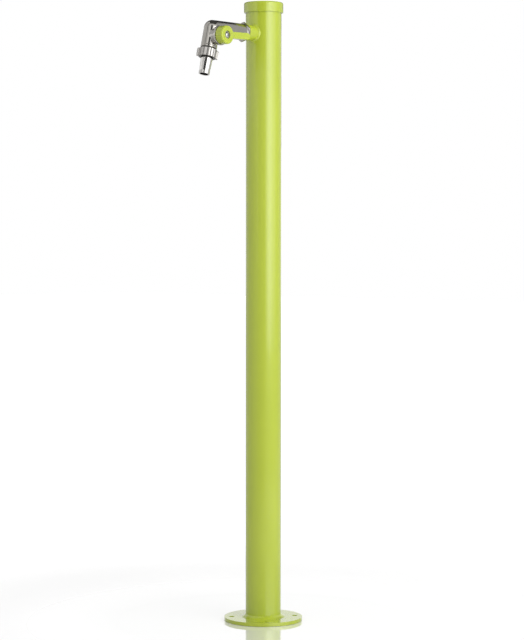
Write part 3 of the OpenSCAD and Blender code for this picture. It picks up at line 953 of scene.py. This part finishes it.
@dataclass
class Column:
    """The column's tube and its slip-on cap."""

    wall: float = 0.002
    hole_play: float = 0.0001
    cap_play: float = 0.0001
    cap_top: float = 0.003
    cap_round: float = 0.0026
    cap_crown: float = 0.0006
    cap_sweep: float = 84.0
    cap_steps: int = 8
    crown_rings: tuple[Station, ...] = ((1 / 2, 0.2), (1 / 8, 0.0))
    edge: float = 0.0004
    edge_angle: float = 50.0
    segments: int = 192

    def build(self) -> None:
        """Build and dress both pieces."""
        fit(self.tube(), Body.STANDPIPE, PAINT, "column_tube")
        fit(self.cap(), Body.STANDPIPE, PAINT, "top_cap", machined=True)

    def tube(self) -> Object:
        """Return the tube, with the hole that its socket goes through."""
        low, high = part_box("column_tube")
        bore = high.x - self.wall
        tube = Bench.turned("column", [
            (high.x, low.z), (high.x, high.z), (bore, high.z), (bore, low.z),
        ], bored=True, segments=self.segments)
        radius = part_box("tap_socket")[1].x + self.hole_play
        hole = Bench.peg("hole", radius, (bore / 2, high.x * 2))
        return Bench.combine(tube, Bench.place(hole, ARM), Joining.CUT)

    def cap(self) -> Object:
        """Return the cap, with its skirt and its rounded top edge."""
        low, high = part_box("top_cap")
        tube_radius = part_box("column_tube")[1].x + self.cap_play
        shoulder = high.z - self.cap_round - self.cap_crown
        rounded = arc((high.x - self.cap_round, shoulder), self.cap_round, 0, self.cap_sweep, self.cap_steps)
        crown = [(high.x * share, high.z - self.cap_crown * drop) for share, drop in self.crown_rings]
        cap = Bench.turned("cap", [
            (tube_radius, high.z - self.cap_top), (tube_radius, low.z), (high.x, low.z), *rounded, *crown,
        ], segments=self.segments)
        return Bench.soften(cap, self.edge, angle=self.edge_angle)


@dataclass
class Foot:
    """The foot plate with its anchor holes, and the weld that joins it to the column."""

    edge: float = 0.0007
    hole_segments: int = 48
    ripples: int = 58
    weld_crown: float = -0.0011
    weld_ripple: float = 0.0002
    weld_waver: float = 0.0007
    bore_play: float = 0.0001
    segments: int = 192

    def build(self) -> None:
        """Build and dress both pieces."""
        fit(self.plate(), Body.STANDPIPE, PAINT, "base_flange", machined=True)
        fit(self.weld(), Body.STANDPIPE, PAINT, "foot_weld")

    def plate(self) -> Object:
        """Return the plate, drilled for its anchors and for the water inlet."""
        low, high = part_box("base_flange")
        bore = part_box("inlet_socket")[1].x + self.bore_play
        plate = Bench.ring("foot_plate", bore, high.x, (low.z, high.z), self.segments)
        sizes = next(m["dims"] for m in frame["record"]["mounts"] if m["name"] == "base_bolts")
        away = sizes["pcd_mm"] / MM_PER_M / 2
        hole_radius = sizes["hole_r_mm"] / MM_PER_M
        for i in range(sizes["count"]):
            turn = (i + 0.5) * 2 * math.pi / sizes["count"]
            drill = Bench.peg(
                "drill", hole_radius, (low.z - OVERSHOOT, high.z + OVERSHOOT),
                (away * math.cos(turn), away * math.sin(turn)), self.hole_segments,
            )
            Bench.combine(plate, drill, Joining.CUT)
        return Bench.soften(plate, self.edge)

    def weld(self) -> Object:
        """Return the weld bead on the plate's top."""
        low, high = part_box("foot_weld")
        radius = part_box("column_tube")[1].x
        bead = WeldBead(
            radius, high.x - radius, high.z - low.z, self.ripples, self.weld_crown, self.weld_ripple,
            self.weld_waver,
        ).build("foot_bead")
        bead.location = (0, 0, low.z)
        return Bench.settle(bead)


@dataclass
class TapSocket:
    """The socket that carries the tap, the weld round it and the tap's sealing ring."""

    edge: float = 0.0009
    thread_bore: float = 0.01053
    ripples: int = 32
    weld_crown: float = 0.0004
    weld_ripple: float = 0.00022
    weld_waver: float = 0.0004
    bulge: float = 0.0004
    bulge_sweep: float = 80.0
    bulge_steps: int = 10

    def build(self) -> None:
        """Build and dress the three pieces."""
        fit(self.socket(), Body.STANDPIPE, PAINT, "tap_socket", machined=True)
        fit(self.weld(), Body.STANDPIPE, PAINT, "socket_weld")
        fit(self.seal(), Body.STANDPIPE, RUBBER, "socket_gasket")

    def socket(self) -> Object:
        """Return the socket."""
        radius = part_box("tap_socket")[1].x
        socket = Bench.ring("socket", self.thread_bore, radius, ARM.span("tap_socket"))
        return Bench.place(Bench.soften(socket, self.edge), ARM)

    def weld(self) -> Object:
        """Return the bead that follows the column's round side."""
        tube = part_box("column_tube")[1].x
        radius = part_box("tap_socket")[1].x
        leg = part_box("socket_weld")[1].x - radius
        bead = WeldBead(radius, leg, leg, self.ripples, self.weld_crown, self.weld_ripple, self.weld_waver)
        ring = bead.build("socket_bead")
        for point in ring.data.vertices:
            point.co.z += math.sqrt(tube * tube - point.co.x * point.co.x)
        return Bench.place(ring, ARM)

    def seal(self) -> Object:
        """Return the sealing ring, which bulges under the tap's pressure."""
        start, end = ARM.span("socket_gasket")
        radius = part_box("socket_gasket")[1].x
        middle = (start + end) / 2
        half = (end - start) / 2
        centre = (radius - half + self.bulge, middle)
        outside = arc(centre, half, -self.bulge_sweep, self.bulge_sweep, self.bulge_steps)
        ring = Bench.turned("sealing_ring", [
            (self.thread_bore, start), *outside, (self.thread_bore, end),
        ], bored=True)
        return Bench.place(ring, ARM)


@dataclass
class TapBody:
    """The tap's casting: threaded end, hexagon, arm, elbow, outlet and stem boss."""

    thread_radius: float = 0.01048
    thread_length: float = 0.013
    hex_flats: float = 0.0295
    hex_length: float = 0.005
    hex_turn: float = -10.0
    arm_radius: float = 0.0136
    dome_sweep: float = 88.0
    dome_steps: int = 24
    arm_bore: float = 0.0075
    elbow_bore: float = 0.0042
    elbow_bore_length: float = 0.022
    outlet_radius: float = 0.0134
    outlet_length: float = 0.031
    seat_bore: float = 0.0047
    chamber_radius: float = 0.0078
    chamber_start: float = 0.0069
    boss_radius: float = 0.0163
    boss_face: float = 0.023
    boss_rim: float = 0.004
    boss_cone: float = 0.0048
    stem_bore: float = 0.0065
    gland_bore: float = 0.00825
    gland_start: float = 0.0106
    lug_angle: float = 11.0
    lug_low: tuple[float, float, float] = (0.0125, -0.002, 0.022)
    lug_high: tuple[float, float, float] = (0.0147, 0.002, 0.027)
    grain: float = 0.0005
    passes: int = 7

    def build(self) -> None:
        """Build and dress the casting."""
        fit(self.casting(), Body.STANDPIPE, NICKEL, "tap_body")

    def casting(self) -> Object:
        """Return the casting, with its bores, as one soft-edged skin."""
        casting = self.arm()
        for shape in (self.hexagon(), self.outlet(), self.boss(), self.lug()):
            Bench.combine(casting, shape, Joining.ADD)
        for bore in self.bores():
            Bench.combine(casting, bore, Joining.CUT)
        return Bench.cast(casting, self.grain, self.passes)

    def hex_start(self) -> float:
        """Return the station of the hexagon's face against the sealing ring."""
        return ARM.span("socket_gasket")[1]

    def reach(self) -> float:
        """Return the station of the outlet's line on the arm."""
        return -OUTLET.origin.y

    def arm(self) -> Object:
        """Return the threaded end and the arm, with a domed end at the outlet."""
        start = self.hex_start()
        dome = arc((0, self.reach()), self.arm_radius, 0, self.dome_sweep, self.dome_steps)
        arm = Bench.turned("tap_casting", [
            (self.thread_radius, start - self.thread_length), (self.thread_radius, start + OVERSHOOT),
            (self.arm_radius, start + OVERSHOOT), *dome,
        ])
        return Bench.place(arm, ARM)

    def hexagon(self) -> Object:
        """Return the hexagon."""
        start = self.hex_start()
        prism = Bench.hexagon("hexagon", self.hex_flats, start, start + self.hex_length)
        return Bench.place(prism, ARM, math.radians(self.hex_turn))

    def outlet(self) -> Object:
        """Return the outlet."""
        return Bench.place(Bench.peg("outlet", self.outlet_radius, (0, self.outlet_length)), OUTLET)

    def boss(self) -> Object:
        """Return the stem's boss, with a neck and a cone behind its rim."""
        rim = self.boss_face - self.boss_rim
        neck = self.boss_radius - self.boss_cone
        boss = Bench.turned("boss", [
            (neck, 0), (neck, rim - self.boss_cone), (self.boss_radius, rim),
            (self.boss_radius, self.boss_face),
        ])
        return Bench.place(boss, STEM)

    def lug(self) -> Object:
        """Return the lug that stops the lever."""
        lug = Bench.block("lug", self.lug_low, self.lug_high)
        return Bench.place(lug, STEM, math.radians(self.lug_angle))

    def bores(self) -> list[Object]:
        """Return the shapes of the waterway, the valve's chamber and the stem's hole."""
        start = self.hex_start() - self.thread_length - OVERSHOOT
        narrow = self.reach() - self.elbow_bore_length
        steps = {
            "arm_bore": (ARM, self.arm_bore, self.elbow_bore, (start, narrow, self.reach())),
            "outlet_bore": (OUTLET, self.seat_bore, self.chamber_radius,
                            (0, self.chamber_start, self.outlet_length + OVERSHOOT)),
            "stem_bore": (STEM, self.stem_bore, self.gland_bore,
                          (0, self.gland_start, self.boss_face + OVERSHOOT)),
        }
        bores = []
        for name, (axis, first, second, (low, middle, high)) in steps.items():
            outline = [(first, low), (first, middle), (second, middle), (second, high)]
            bores.append(Bench.place(Bench.turned(name, outline), axis))
        return bores


@dataclass
class Outlet:
    """The screwed spigot, the eared union nut and the barbed hose tail.

    The thread's form is the corners of its ridge as shares of the pitch: root, crest, root and crest.
    """

    collar_start: float = 0.031
    collar_end: float = 0.0341
    plug_radius: float = 0.00775
    spigot_bore: float = 0.0048
    thread_radius: float = 0.01322
    thread_depth: float = 0.0010
    thread_pitch: float = 0.001814
    thread_form: tuple[float, float, float, float] = (0.02, 0.44, 0.98, 0.56)
    thread_steps: int = 72
    root_sunk: float = 0.00025
    nut_radius: float = 0.0149
    nut_floor: float = 0.0036
    nut_hole: float = 0.01015
    nut_play: float = 0.00008
    ear_span: float = 0.018
    ear_thickness: float = 0.005
    ear_top: float = 0.001
    ear_hang: float = 0.0006
    ear_round: float = 0.002
    ear_segments: int = 6
    ear_angle: float = -48.0
    flute_count: int = 6
    flute_step: float = 24.0
    flute_radius: float = 0.0018
    flute_depth: float = 0.0005
    flute_segments: int = 48
    tail_flange: float = 0.0019
    tail_neck: float = 0.0092
    tail_bore: float = 0.007
    barb_radius: float = 0.010
    barb_end: float = 0.009
    barb_depth: float = 0.0008
    barb_count: int = 3
    barb_pitch: float = 0.0069
    barb_edge: float = 0.0004
    tail_end: float = 0.005
    edge: float = 0.0003
    grain: float = 0.00036
    passes: int = 5

    def build(self) -> None:
        """Build and dress the three pieces."""
        fit(self.spigot(), Body.STANDPIPE, NICKEL_THREAD, "outlet_spigot", machined=True)
        fit(self.nut(), Body.UNION_NUT, NICKEL_GRIP, "union_nut")
        fit(self.tail(), Body.HOSE_TAIL, NICKEL_TAIL, "hose_tail", machined=True)

    def spigot(self) -> Object:
        """Return the spigot: plug, collar and a cut thread."""
        start, end = OUTLET.span("outlet_spigot")
        collar = OUTLET.radius("outlet_spigot")
        core = self.thread_radius - self.thread_depth
        body = Bench.turned("threaded_spigot", [
            (self.spigot_bore, start), (self.plug_radius, start), (self.plug_radius, self.collar_start),
            (collar, self.collar_start), (collar, self.collar_end), (core, self.collar_end), (core, end),
            (self.spigot_bore, end),
        ], bored=True)
        Bench.soften(body, self.edge)
        thread_start = OUTLET.span("union_nut")[0]
        Bench.combine(body, self.thread(core, thread_start, end), Joining.ADD)
        return Bench.place(body, OUTLET)

    def thread(self, core: float, low: float, high: float) -> Object:
        """Return a helical ridge about Z with closed ends.

        Args:
            core: Radius of the thread's core.
            low: Height at which the ridge starts.
            high: Height that it stays below.

        Returns:
            The new object.
        """
        turns = int((high - low) / self.thread_pitch) - 1
        root = core - self.root_sunk
        radii = (root, self.thread_radius, root, self.thread_radius)
        heights = [low + self.thread_pitch * share for share in self.thread_form]
        ridge = Bench.section("ridge", list(zip(radii, heights)))
        Bench.apply(
            ridge, "SCREW", angle=2 * math.pi, screw_offset=self.thread_pitch, iterations=turns,
            steps=self.thread_steps, render_steps=self.thread_steps, axis="Z", use_smooth_shade=True,
            use_merge_vertices=False,
        )
        Bench.edit(ridge)
        bpy.ops.mesh.remove_doubles(threshold=MERGE)
        bpy.ops.mesh.fill_holes(sides=len(self.thread_form))
        Bench.mend()
        return ridge

    def nut(self) -> Object:
        """Return the nut: a round, fluted body with two flat ears that hang below it."""
        top = OUTLET.span("union_nut")[0]
        low = OUTLET.span("hose_tail")[0] + self.tail_flange + self.nut_play + self.nut_floor
        nut = Bench.peg("eared_nut", self.nut_radius, (top, low))
        Bench.combine(nut, self.ears(top + self.ear_top, low + self.ear_hang), Joining.ADD)
        bore = self.thread_radius + self.nut_play
        Bench.combine(nut, Bench.turned("bore", [
            (bore, top - OVERSHOOT), (bore, low - self.nut_floor), (self.nut_hole, low - self.nut_floor),
            (self.nut_hole, low), (self.nut_radius, low),
            (self.ear_span - self.ear_round, low + self.ear_hang),
            (self.ear_span - self.ear_round, low + self.ear_hang + OVERSHOOT),
        ]), Joining.CUT)
        self.flute(nut, top, low)
        Bench.cast(nut, self.grain, self.passes)
        return Bench.place(nut, OUTLET, math.radians(self.ear_angle))

    def flute(self, nut: Object, top: float, low: float) -> None:
        """Cut the grip flutes between the ears.

        Args:
            nut: The nut, about Z.
            top: Height of its upper end.
            low: Height of its lower end.
        """
        away = self.nut_radius + self.flute_radius - self.flute_depth
        first = QUARTER_TURN - (self.flute_count - 1) / 2 * self.flute_step
        for i in range(self.flute_count * 2):
            side, step = divmod(i, self.flute_count)
            turn = math.radians(first + step * self.flute_step + side * HALF_TURN)
            cutter = Bench.peg(
                "flute", self.flute_radius, (top - OVERSHOOT, low + OVERSHOOT),
                (away * math.cos(turn), away * math.sin(turn)), self.flute_segments,
            )
            Bench.combine(nut, cutter, Joining.CUT)

    def ears(self, top: float, low: float) -> Object:
        """Return a plate that makes both ears, with round corners.

        Args:
            top: Height of its upper edge.
            low: Height of its lower edge.

        Returns:
            The new object.
        """
        half = self.ear_thickness / 2
        plate = Bench.block("ears", (-self.ear_span, -half, top), (self.ear_span, half, low))
        Bench.edit(plate, [])
        bpy.ops.mesh.select_mode(type="EDGE")
        bpy.ops.object.mode_set(mode="OBJECT")
        for edge in plate.data.edges:
            first, second = (plate.data.vertices[i].co for i in edge.vertices)
            edge.select = abs(first.y - second.y) > half
        bpy.ops.object.mode_set(mode="EDIT")
        bpy.ops.mesh.bevel(offset=self.ear_round, segments=self.ear_segments)
        bpy.ops.object.mode_set(mode="OBJECT")
        return plate

    def tail(self) -> Object:
        """Return the hose tail: a flange, a neck, barbs and a plain end."""
        start, end = OUTLET.span("hose_tail")
        flange_end = start + self.tail_flange
        barb_start = end - self.tail_end - self.barb_count * self.barb_pitch
        outline = [(self.tail_bore, start), (self.thread_radius, start), (self.thread_radius, flange_end),
                   (self.tail_neck, flange_end), (self.tail_neck, barb_start)]
        taper = (self.barb_radius - self.barb_end) / self.barb_count
        for i in range(self.barb_count):
            radius = self.barb_radius - i * taper
            outline += [(radius, barb_start + i * self.barb_pitch),
                        (radius - self.barb_depth, barb_start + (i + 1) * self.barb_pitch)]
        outline += [(self.barb_end, end - self.tail_end), (self.barb_end, end), (self.tail_bore, end)]
        tail = Bench.turned("barbed_tail", outline, bored=True)
        Bench.soften(tail, self.barb_edge)
        return Bench.place(tail, OUTLET)


@dataclass
class Lever:
    """The lever with its hub, and the screw and washer that hold it on the stem."""

    hub_start: float = 0.0235
    hub_end: float = 0.0375
    hub_radius: float = 0.0152
    hub_round: float = 0.0024
    hub_steps: int = 6
    hollow_radius: float = 0.012
    hollow_end: float = 0.0285
    recess_radius: float = 0.0065
    recess_depth: float = 0.003
    square: float = 0.0072
    bar_length: float = 0.0565
    bar_width: float = 0.011
    bar_thickness: float = 0.006
    bar_step: float = 0.0008
    tip_segments: int = 64
    lift: float = 1.5
    notch_start: float = 0.5
    notch_angle: float = 111.0
    notch_end: float = 0.028
    notch_steps: int = 24
    washer_bore: float = 0.00215
    washer_edge: float = 0.00015
    screw_radius: float = 0.0021
    head_radius: float = 0.00525
    head_height: float = 0.0032
    key_flats: float = 0.005
    key_depth: float = 0.0018
    head_sweep: float = 86.0
    head_steps: int = 14
    screw_edge: float = 0.0001
    screw_edge_segments: int = 2
    screw_segments: int = 96
    grain: float = 0.0004
    passes: int = 6

    def build(self) -> None:
        """Build and dress the three pieces."""
        fit(self.handle(), Body.LEVER, LEVER_PAINT, "lever_handle")
        fit(self.washer(), Body.LEVER, ZINC, "lever_washer", machined=True)
        fit(self.screw(), Body.LEVER, ZINC, "lever_screw", machined=True)

    def handle(self) -> Object:
        """Return the hub and its bar as one soft-edged casting."""
        centre = (self.hub_radius - self.hub_round, self.hub_end - self.hub_round)
        rim = arc(centre, self.hub_round, 0, QUARTER_TURN, self.hub_steps)
        handle = Bench.turned("lever_casting", [(self.hub_radius, self.hub_start), *rim])
        Bench.combine(handle, self.bar(), Joining.ADD)
        half = self.square / 2
        cuts = [
            Bench.peg("hollow", self.hollow_radius, (self.hub_start - OVERSHOOT, self.hollow_end)),
            Bench.peg("recess", self.recess_radius,
                      (self.hub_end - self.recess_depth, self.hub_end + OVERSHOOT)),
            Bench.block("square", (-half, -half, self.hub_start), (half, half, self.hub_end)),
            self.notch(),
        ]
        for cut in cuts:
            Bench.combine(handle, cut, Joining.CUT)
        Bench.cast(handle, self.grain, self.passes)
        return Bench.place(handle, STEM, math.radians(self.lift))

    def bar(self) -> Object:
        """Return the lever's bar, with a round tip."""
        face = self.hub_end - self.bar_step
        half = self.bar_width / 2
        tip = self.bar_length - half
        bar = Bench.block("bar", (0, -half, face - self.bar_thickness), (tip, half, face))
        end = Bench.peg("tip", half, (face - self.bar_thickness, face), (tip, 0), self.tip_segments)
        return Bench.combine(bar, end, Joining.ADD)

    def notch(self) -> Object:
        """Return the arc that the stop lug travels in."""
        low, high = self.hub_start - OVERSHOOT, self.notch_end
        inner, outer = self.hollow_radius - OVERSHOOT, self.hub_radius + OVERSHOOT
        notch = Bench.section("notch", [(inner, low), (outer, low), (inner, high), (outer, high)])
        Bench.edit(notch)
        bpy.ops.mesh.spin(
            steps=self.notch_steps, angle=math.radians(self.notch_angle), center=(0, 0, 0), axis=(0, 0, 1)
        )
        Bench.mend()
        notch.rotation_euler.z = math.radians(self.notch_start - self.lift)
        return Bench.settle(notch)

    def washer(self) -> Object:
        """Return the washer under the screw's head."""
        radius, ends = STEM.radius("lever_washer"), STEM.span("lever_washer")
        washer = Bench.ring("screw_washer", self.washer_bore, radius, ends, self.screw_segments)
        return Bench.place(Bench.soften(washer, self.washer_edge), STEM)

    def screw(self) -> Object:
        """Return the screw, with a domed head and a hexagon socket."""
        low, high = STEM.span("lever_screw")
        seat = high - self.head_height
        dome = (self.head_radius ** 2 + self.head_height ** 2) / (2 * self.head_height)
        start = math.degrees(math.asin((dome - self.head_height) / dome))
        head = arc((0, high - dome), dome, start, self.head_sweep, self.head_steps)
        screw = Bench.turned("screw", [
            (self.screw_radius, low), (self.screw_radius, seat), (self.head_radius, seat), *head,
        ], segments=self.screw_segments)
        Bench.combine(screw, Bench.hexagon(
            "key", self.key_flats, high - self.key_depth, high + OVERSHOOT, turned_ends=False
        ), Joining.CUT)
        return Bench.place(Bench.soften(screw, self.screw_edge, self.screw_edge_segments), STEM)


@dataclass
class InnerWorks:
    """The pieces that keep their solids: riser, water inlet, valve and seals."""

    finishes: dict[str, Finish] = field(default_factory=lambda: {
        "inlet_socket": STEEL, "inlet_weld": STEEL,
        "inlet_connector": BRASS, "lower_olive": BRASS, "lower_compression_nut": BRASS,
        "riser_pipe": COPPER, "upper_compression_nut": BRASS, "upper_olive": BRASS, "riser_elbow": BRASS,
        "spigot_o_ring": RUBBER, "upper_seat": SEAL, "lower_seat": SEAL, "bonnet": NICKEL,
        "valve_ball": NICKEL, "valve_stem": BRASS, "stem_o_rings": RUBBER, "thrust_washer": SEAL,
        "union_washer": RUBBER,
    })

    def build(self) -> None:
        """Give each solid its finish."""
        for node, finish in self.finishes.items():
            dress(frame["nodes"][node], finish)
            LOG.info("%s keeps its solid in %s", node, finish.name)


# Studio


def around(azimuth: float, distance: float, height: float) -> Vector:
    """Return a place round the column, by an angle in degrees from the tap's side to the lever's."""
    turn = math.radians(azimuth)
    return Vector((distance * math.sin(turn), -distance * math.cos(turn), height))


def facing(place: Vector, aim: float) -> Euler:
    """Return the turn that faces a height of the column's line from a place."""
    return (Vector((0, 0, aim)) - place).to_track_quat("-Z", "Y").to_euler()


@dataclass(frozen=True)
class View:
    """The camera's place and lens.

    Attributes:
        azimuth: Angle of the camera round the column, from the tap's side to the lever's, in degrees.
        distance: Distance from the column's line.
        height: Height of the lens.
        pitch: Angle below level, in degrees.
        yaw: Angle to the left of the column, in degrees.
        roll: Lean of the camera, in degrees.
        lens: Focal length in millimetres.
        sensor: Length of the sensor in millimetres.
        clip_end: Distance up to which things show.
    """

    azimuth: float = 40.0
    distance: float = 3.4
    height: float = 0.649
    pitch: float = 2.293
    yaw: float = 0.042
    roll: float = -0.039
    lens: float = 112.5
    sensor: float = 36.0
    clip_end: float = 100.0

    def build(self) -> None:
        """Add the camera and make it the scene's."""
        data = bpy.data.cameras.new("camera")
        data.lens = self.lens
        data.sensor_width = self.sensor
        data.clip_end = self.clip_end
        camera = bpy.data.objects.new("camera", data)
        camera.location = around(self.azimuth, self.distance, self.height)
        angles = (QUARTER_TURN - self.pitch, self.roll, self.azimuth + self.yaw)
        camera.rotation_euler = [math.radians(angle) for angle in angles]
        bpy.context.scene.collection.objects.link(camera)
        bpy.context.scene.camera = camera


@dataclass(frozen=True)
class SoftBox:
    """A soft lamp that stands round the column and faces it.

    Attributes:
        name: Name of the lamp.
        azimuth: Angle round the column, measured as the camera's, in degrees.
        width: Width of the lamp.
        power: Power in watts.
        distance: Distance from the column's line.
        height: Height of its middle.
        tall: Height of the lamp itself.
        aim: Height that it faces.
        mirrored: True if bright surfaces show it.
    """

    name: str
    azimuth: float
    width: float
    power: float
    distance: float = 2.0
    height: float = 1.1
    tall: float = 1.5
    aim: float = 0.9
    mirrored: bool = True

    def build(self) -> None:
        """Add the lamp."""
        data = bpy.data.lights.new(self.name, "AREA")
        data.shape = "RECTANGLE"
        data.size = self.width
        data.size_y = self.tall
        data.energy = self.power
        lamp = bpy.data.objects.new(self.name, data)
        lamp.visible_glossy = self.mirrored
        lamp.location = around(self.azimuth, self.distance, self.height)
        lamp.rotation_euler = facing(lamp.location, self.aim)
        bpy.context.scene.collection.objects.link(lamp)


@dataclass(frozen=True)
class Flag:
    """A grey card that only reflections show, as a studio uses to draw the edges of bright metal.

    Attributes:
        name: Name of the card.
        azimuth: Angle round the column, measured as the camera's, in degrees.
        distance: Distance from the column's line.
        height: Height of its middle.
        width: Width of the card.
        tall: Height of the card itself.
        shade: Grey of the card.
    """

    name: str
    azimuth: float
    distance: float
    height: float
    width: float
    tall: float
    shade: float

    def build(self) -> None:
        """Add the card."""
        place = around(self.azimuth, self.distance, self.height)
        bpy.ops.mesh.primitive_plane_add(size=1, location=place)
        card = Bench.newest(self.name)
        card.scale = (self.width, self.tall, 1)
        card.rotation_euler = facing(place, tap_height())
        Bench.settle(card)
        material, tree = new_material(self.name)
        grey = (self.shade, self.shade, self.shade, 1)
        glow = tree.add("ShaderNodeEmission", {"Color": grey, "Strength": 1.0})
        tree.add("ShaderNodeOutputMaterial", {"Surface": glow.outputs[0]})
        card.data.materials.append(material)
        for ray in ("camera", "diffuse", "shadow", "transmission", "volume_scatter"):
            setattr(card, f"visible_{ray}", False)


@dataclass(frozen=True)
class Surroundings:
    """The white background and the pale floor.

    Attributes:
        ambient: Level of the light that reaches the object from all round.
        floor_size: Side of the floor.
        floor_drop: Gap between floor and foot.
        floor_colour: Colour of the floor.
        floor_gloss: Roughness of the floor's gloss.
        floor_index: Refractive index of the floor's gloss.
        floor_glow: Level by which the floor is lifted to the background's white.
        foot_glow: Level of the same near the foot, where the gloss adds to it; being lower, it paints shade round
            the foot wherever the gloss mirrors less than white.
        polished: Distances from the foot between which the gloss fades out.
    """

    ambient: float = 0.715
    floor_size: float = 30.0
    floor_drop: float = 0.0003
    floor_colour: Colour = (0.72, 0.72, 0.72)
    floor_gloss: float = 0.05
    floor_index: float = 2.0
    floor_glow: float = 0.55
    foot_glow: float = 0.19
    polished: Station = (0.25, 0.9)

    @staticmethod
    def seen(tree: ShaderTree) -> Socket:
        """Return a socket that is 1 for rays that show the background and 0 for those that light the object.

        Args:
            tree: The world's node tree.

        Returns:
            The socket.
        """
        path = tree.add("ShaderNodeLightPath")
        direct = tree.math("MAXIMUM", path.outputs["Is Camera Ray"], path.outputs["Is Glossy Ray"])
        return tree.math("MAXIMUM", direct, path.outputs["Is Transmission Ray"])

    def build(self) -> None:
        """Set up the world and add the floor."""
        self.world()
        self.floor()

    def world(self) -> None:
        """Make a world that is white where it shows and lights the object at a plain level."""
        world = bpy.data.worlds.new("studio")
        world.use_nodes = True
        bpy.context.scene.world = world
        tree = ShaderTree(world.node_tree)
        light = tree.add("ShaderNodeBackground", {"Color": WHITE, "Strength": self.ambient})
        white = tree.add("ShaderNodeBackground", {"Color": WHITE, "Strength": 1.0})
        mixed = tree.add("ShaderNodeMixShader", {
            "Fac": self.seen(tree), 1: light.outputs[0], 2: white.outputs[0],
        })
        tree.add("ShaderNodeOutputWorld", {"Surface": mixed.outputs[0]})

    def floor(self) -> None:
        """Add a floor that shows a soft shadow, a faint reflection and painted shade near the foot."""
        bpy.ops.mesh.primitive_plane_add(size=self.floor_size, location=(0, 0, -self.floor_drop))
        floor = Bench.newest("floor")
        material, tree = new_material("pale_floor")
        away = tree.length(tree.add("ShaderNodeTexCoord").outputs["Object"])
        path = tree.add("ShaderNodeLightPath")
        # Painted shade: the glow is lower near the foot, so the floor there greys wherever its gloss mirrors less
        # than white
        glow = tree.spread(away, self.polished, (self.foot_glow, self.floor_glow))
        shader = tree.add("ShaderNodeBsdfPrincipled", {
            "Base Color": (*self.floor_colour, 1), "IOR": self.floor_index,
            "Roughness": tree.spread(away, self.polished, (self.floor_gloss, 1)),
            "Coat Weight": tree.spread(away, self.polished, (1, 0)), "Coat Roughness": self.floor_gloss,
            "Coat IOR": self.floor_index, "Emission Color": WHITE,
            "Emission Strength": tree.math("MULTIPLY", path.outputs["Is Camera Ray"], glow),
        })
        tree.add("ShaderNodeOutputMaterial", {"Surface": shader.outputs[0]})
        floor.data.materials.append(material)


LAMPS = [
    SoftBox("key_middle", azimuth=80, width=0.7, power=2.4),
    SoftBox("key", azimuth=81, width=1.55, power=5.8),
    SoftBox("key_edge", azimuth=89, width=2.8, power=7.0),
    SoftBox("key_fill", azimuth=92, width=2.2, power=19.0, height=1.3, mirrored=False),
]
FLAGS = [
    Flag("camera_side_low", azimuth=28, distance=1.8, height=0.45, width=1.7, tall=1.3, shade=0.45),
    Flag("camera_side_card", azimuth=28, distance=1.8, height=1.35, width=1.7, tall=0.5, shade=0.05),
    Flag("camera_side_high", azimuth=36, distance=1.8, height=2.05, width=0.8, tall=0.95, shade=0.1),
    Flag("right_hand_card", azimuth=156, distance=2.5, height=1.9, width=4.0, tall=4.0, shade=0.55),
    Flag("back_card", azimuth=210, distance=2.2, height=1.15, width=0.6, tall=0.5, shade=0.03),
    Flag("overhead_card", azimuth=220, distance=2.2, height=2.42, width=4.0, tall=2.6, shade=0.05),
    Flag("ceiling_card", azimuth=130, distance=0.3, height=3.0, width=2.6, tall=2.6, shade=0.08),
    Flag("left_back_card", azimuth=-97, distance=2.4, height=0.6, width=1.3, tall=1.9, shade=0.62),
    Flag("left_hand_low", azimuth=-50, distance=2.0, height=0.4, width=4.8, tall=1.25, shade=0.62),
    Flag("left_hand_card", azimuth=-50, distance=2.0, height=2.6, width=4.8, tall=2.1, shade=0.62),
    Flag("left_hand_strip", azimuth=-25, distance=1.9, height=2.6, width=0.4, tall=2.1, shade=0.25),
]


def main() -> None:
    """Build the studio and the object, piece by piece."""
    logging.basicConfig(level=logging.INFO, format="%(name)s: %(message)s")
    bpy.context.scene.view_settings.view_transform = "Standard"
    View().build()
    Surroundings().build()
    for light in (*LAMPS, *FLAGS):
        light.build()
    for assembly in (Column(), Foot(), TapSocket(), TapBody(), Outlet(), Lever(), InnerWorks()):
        assembly.build()
        LOG.info("%s done", type(assembly).__name__)


if __name__ == "__main__":
    main()
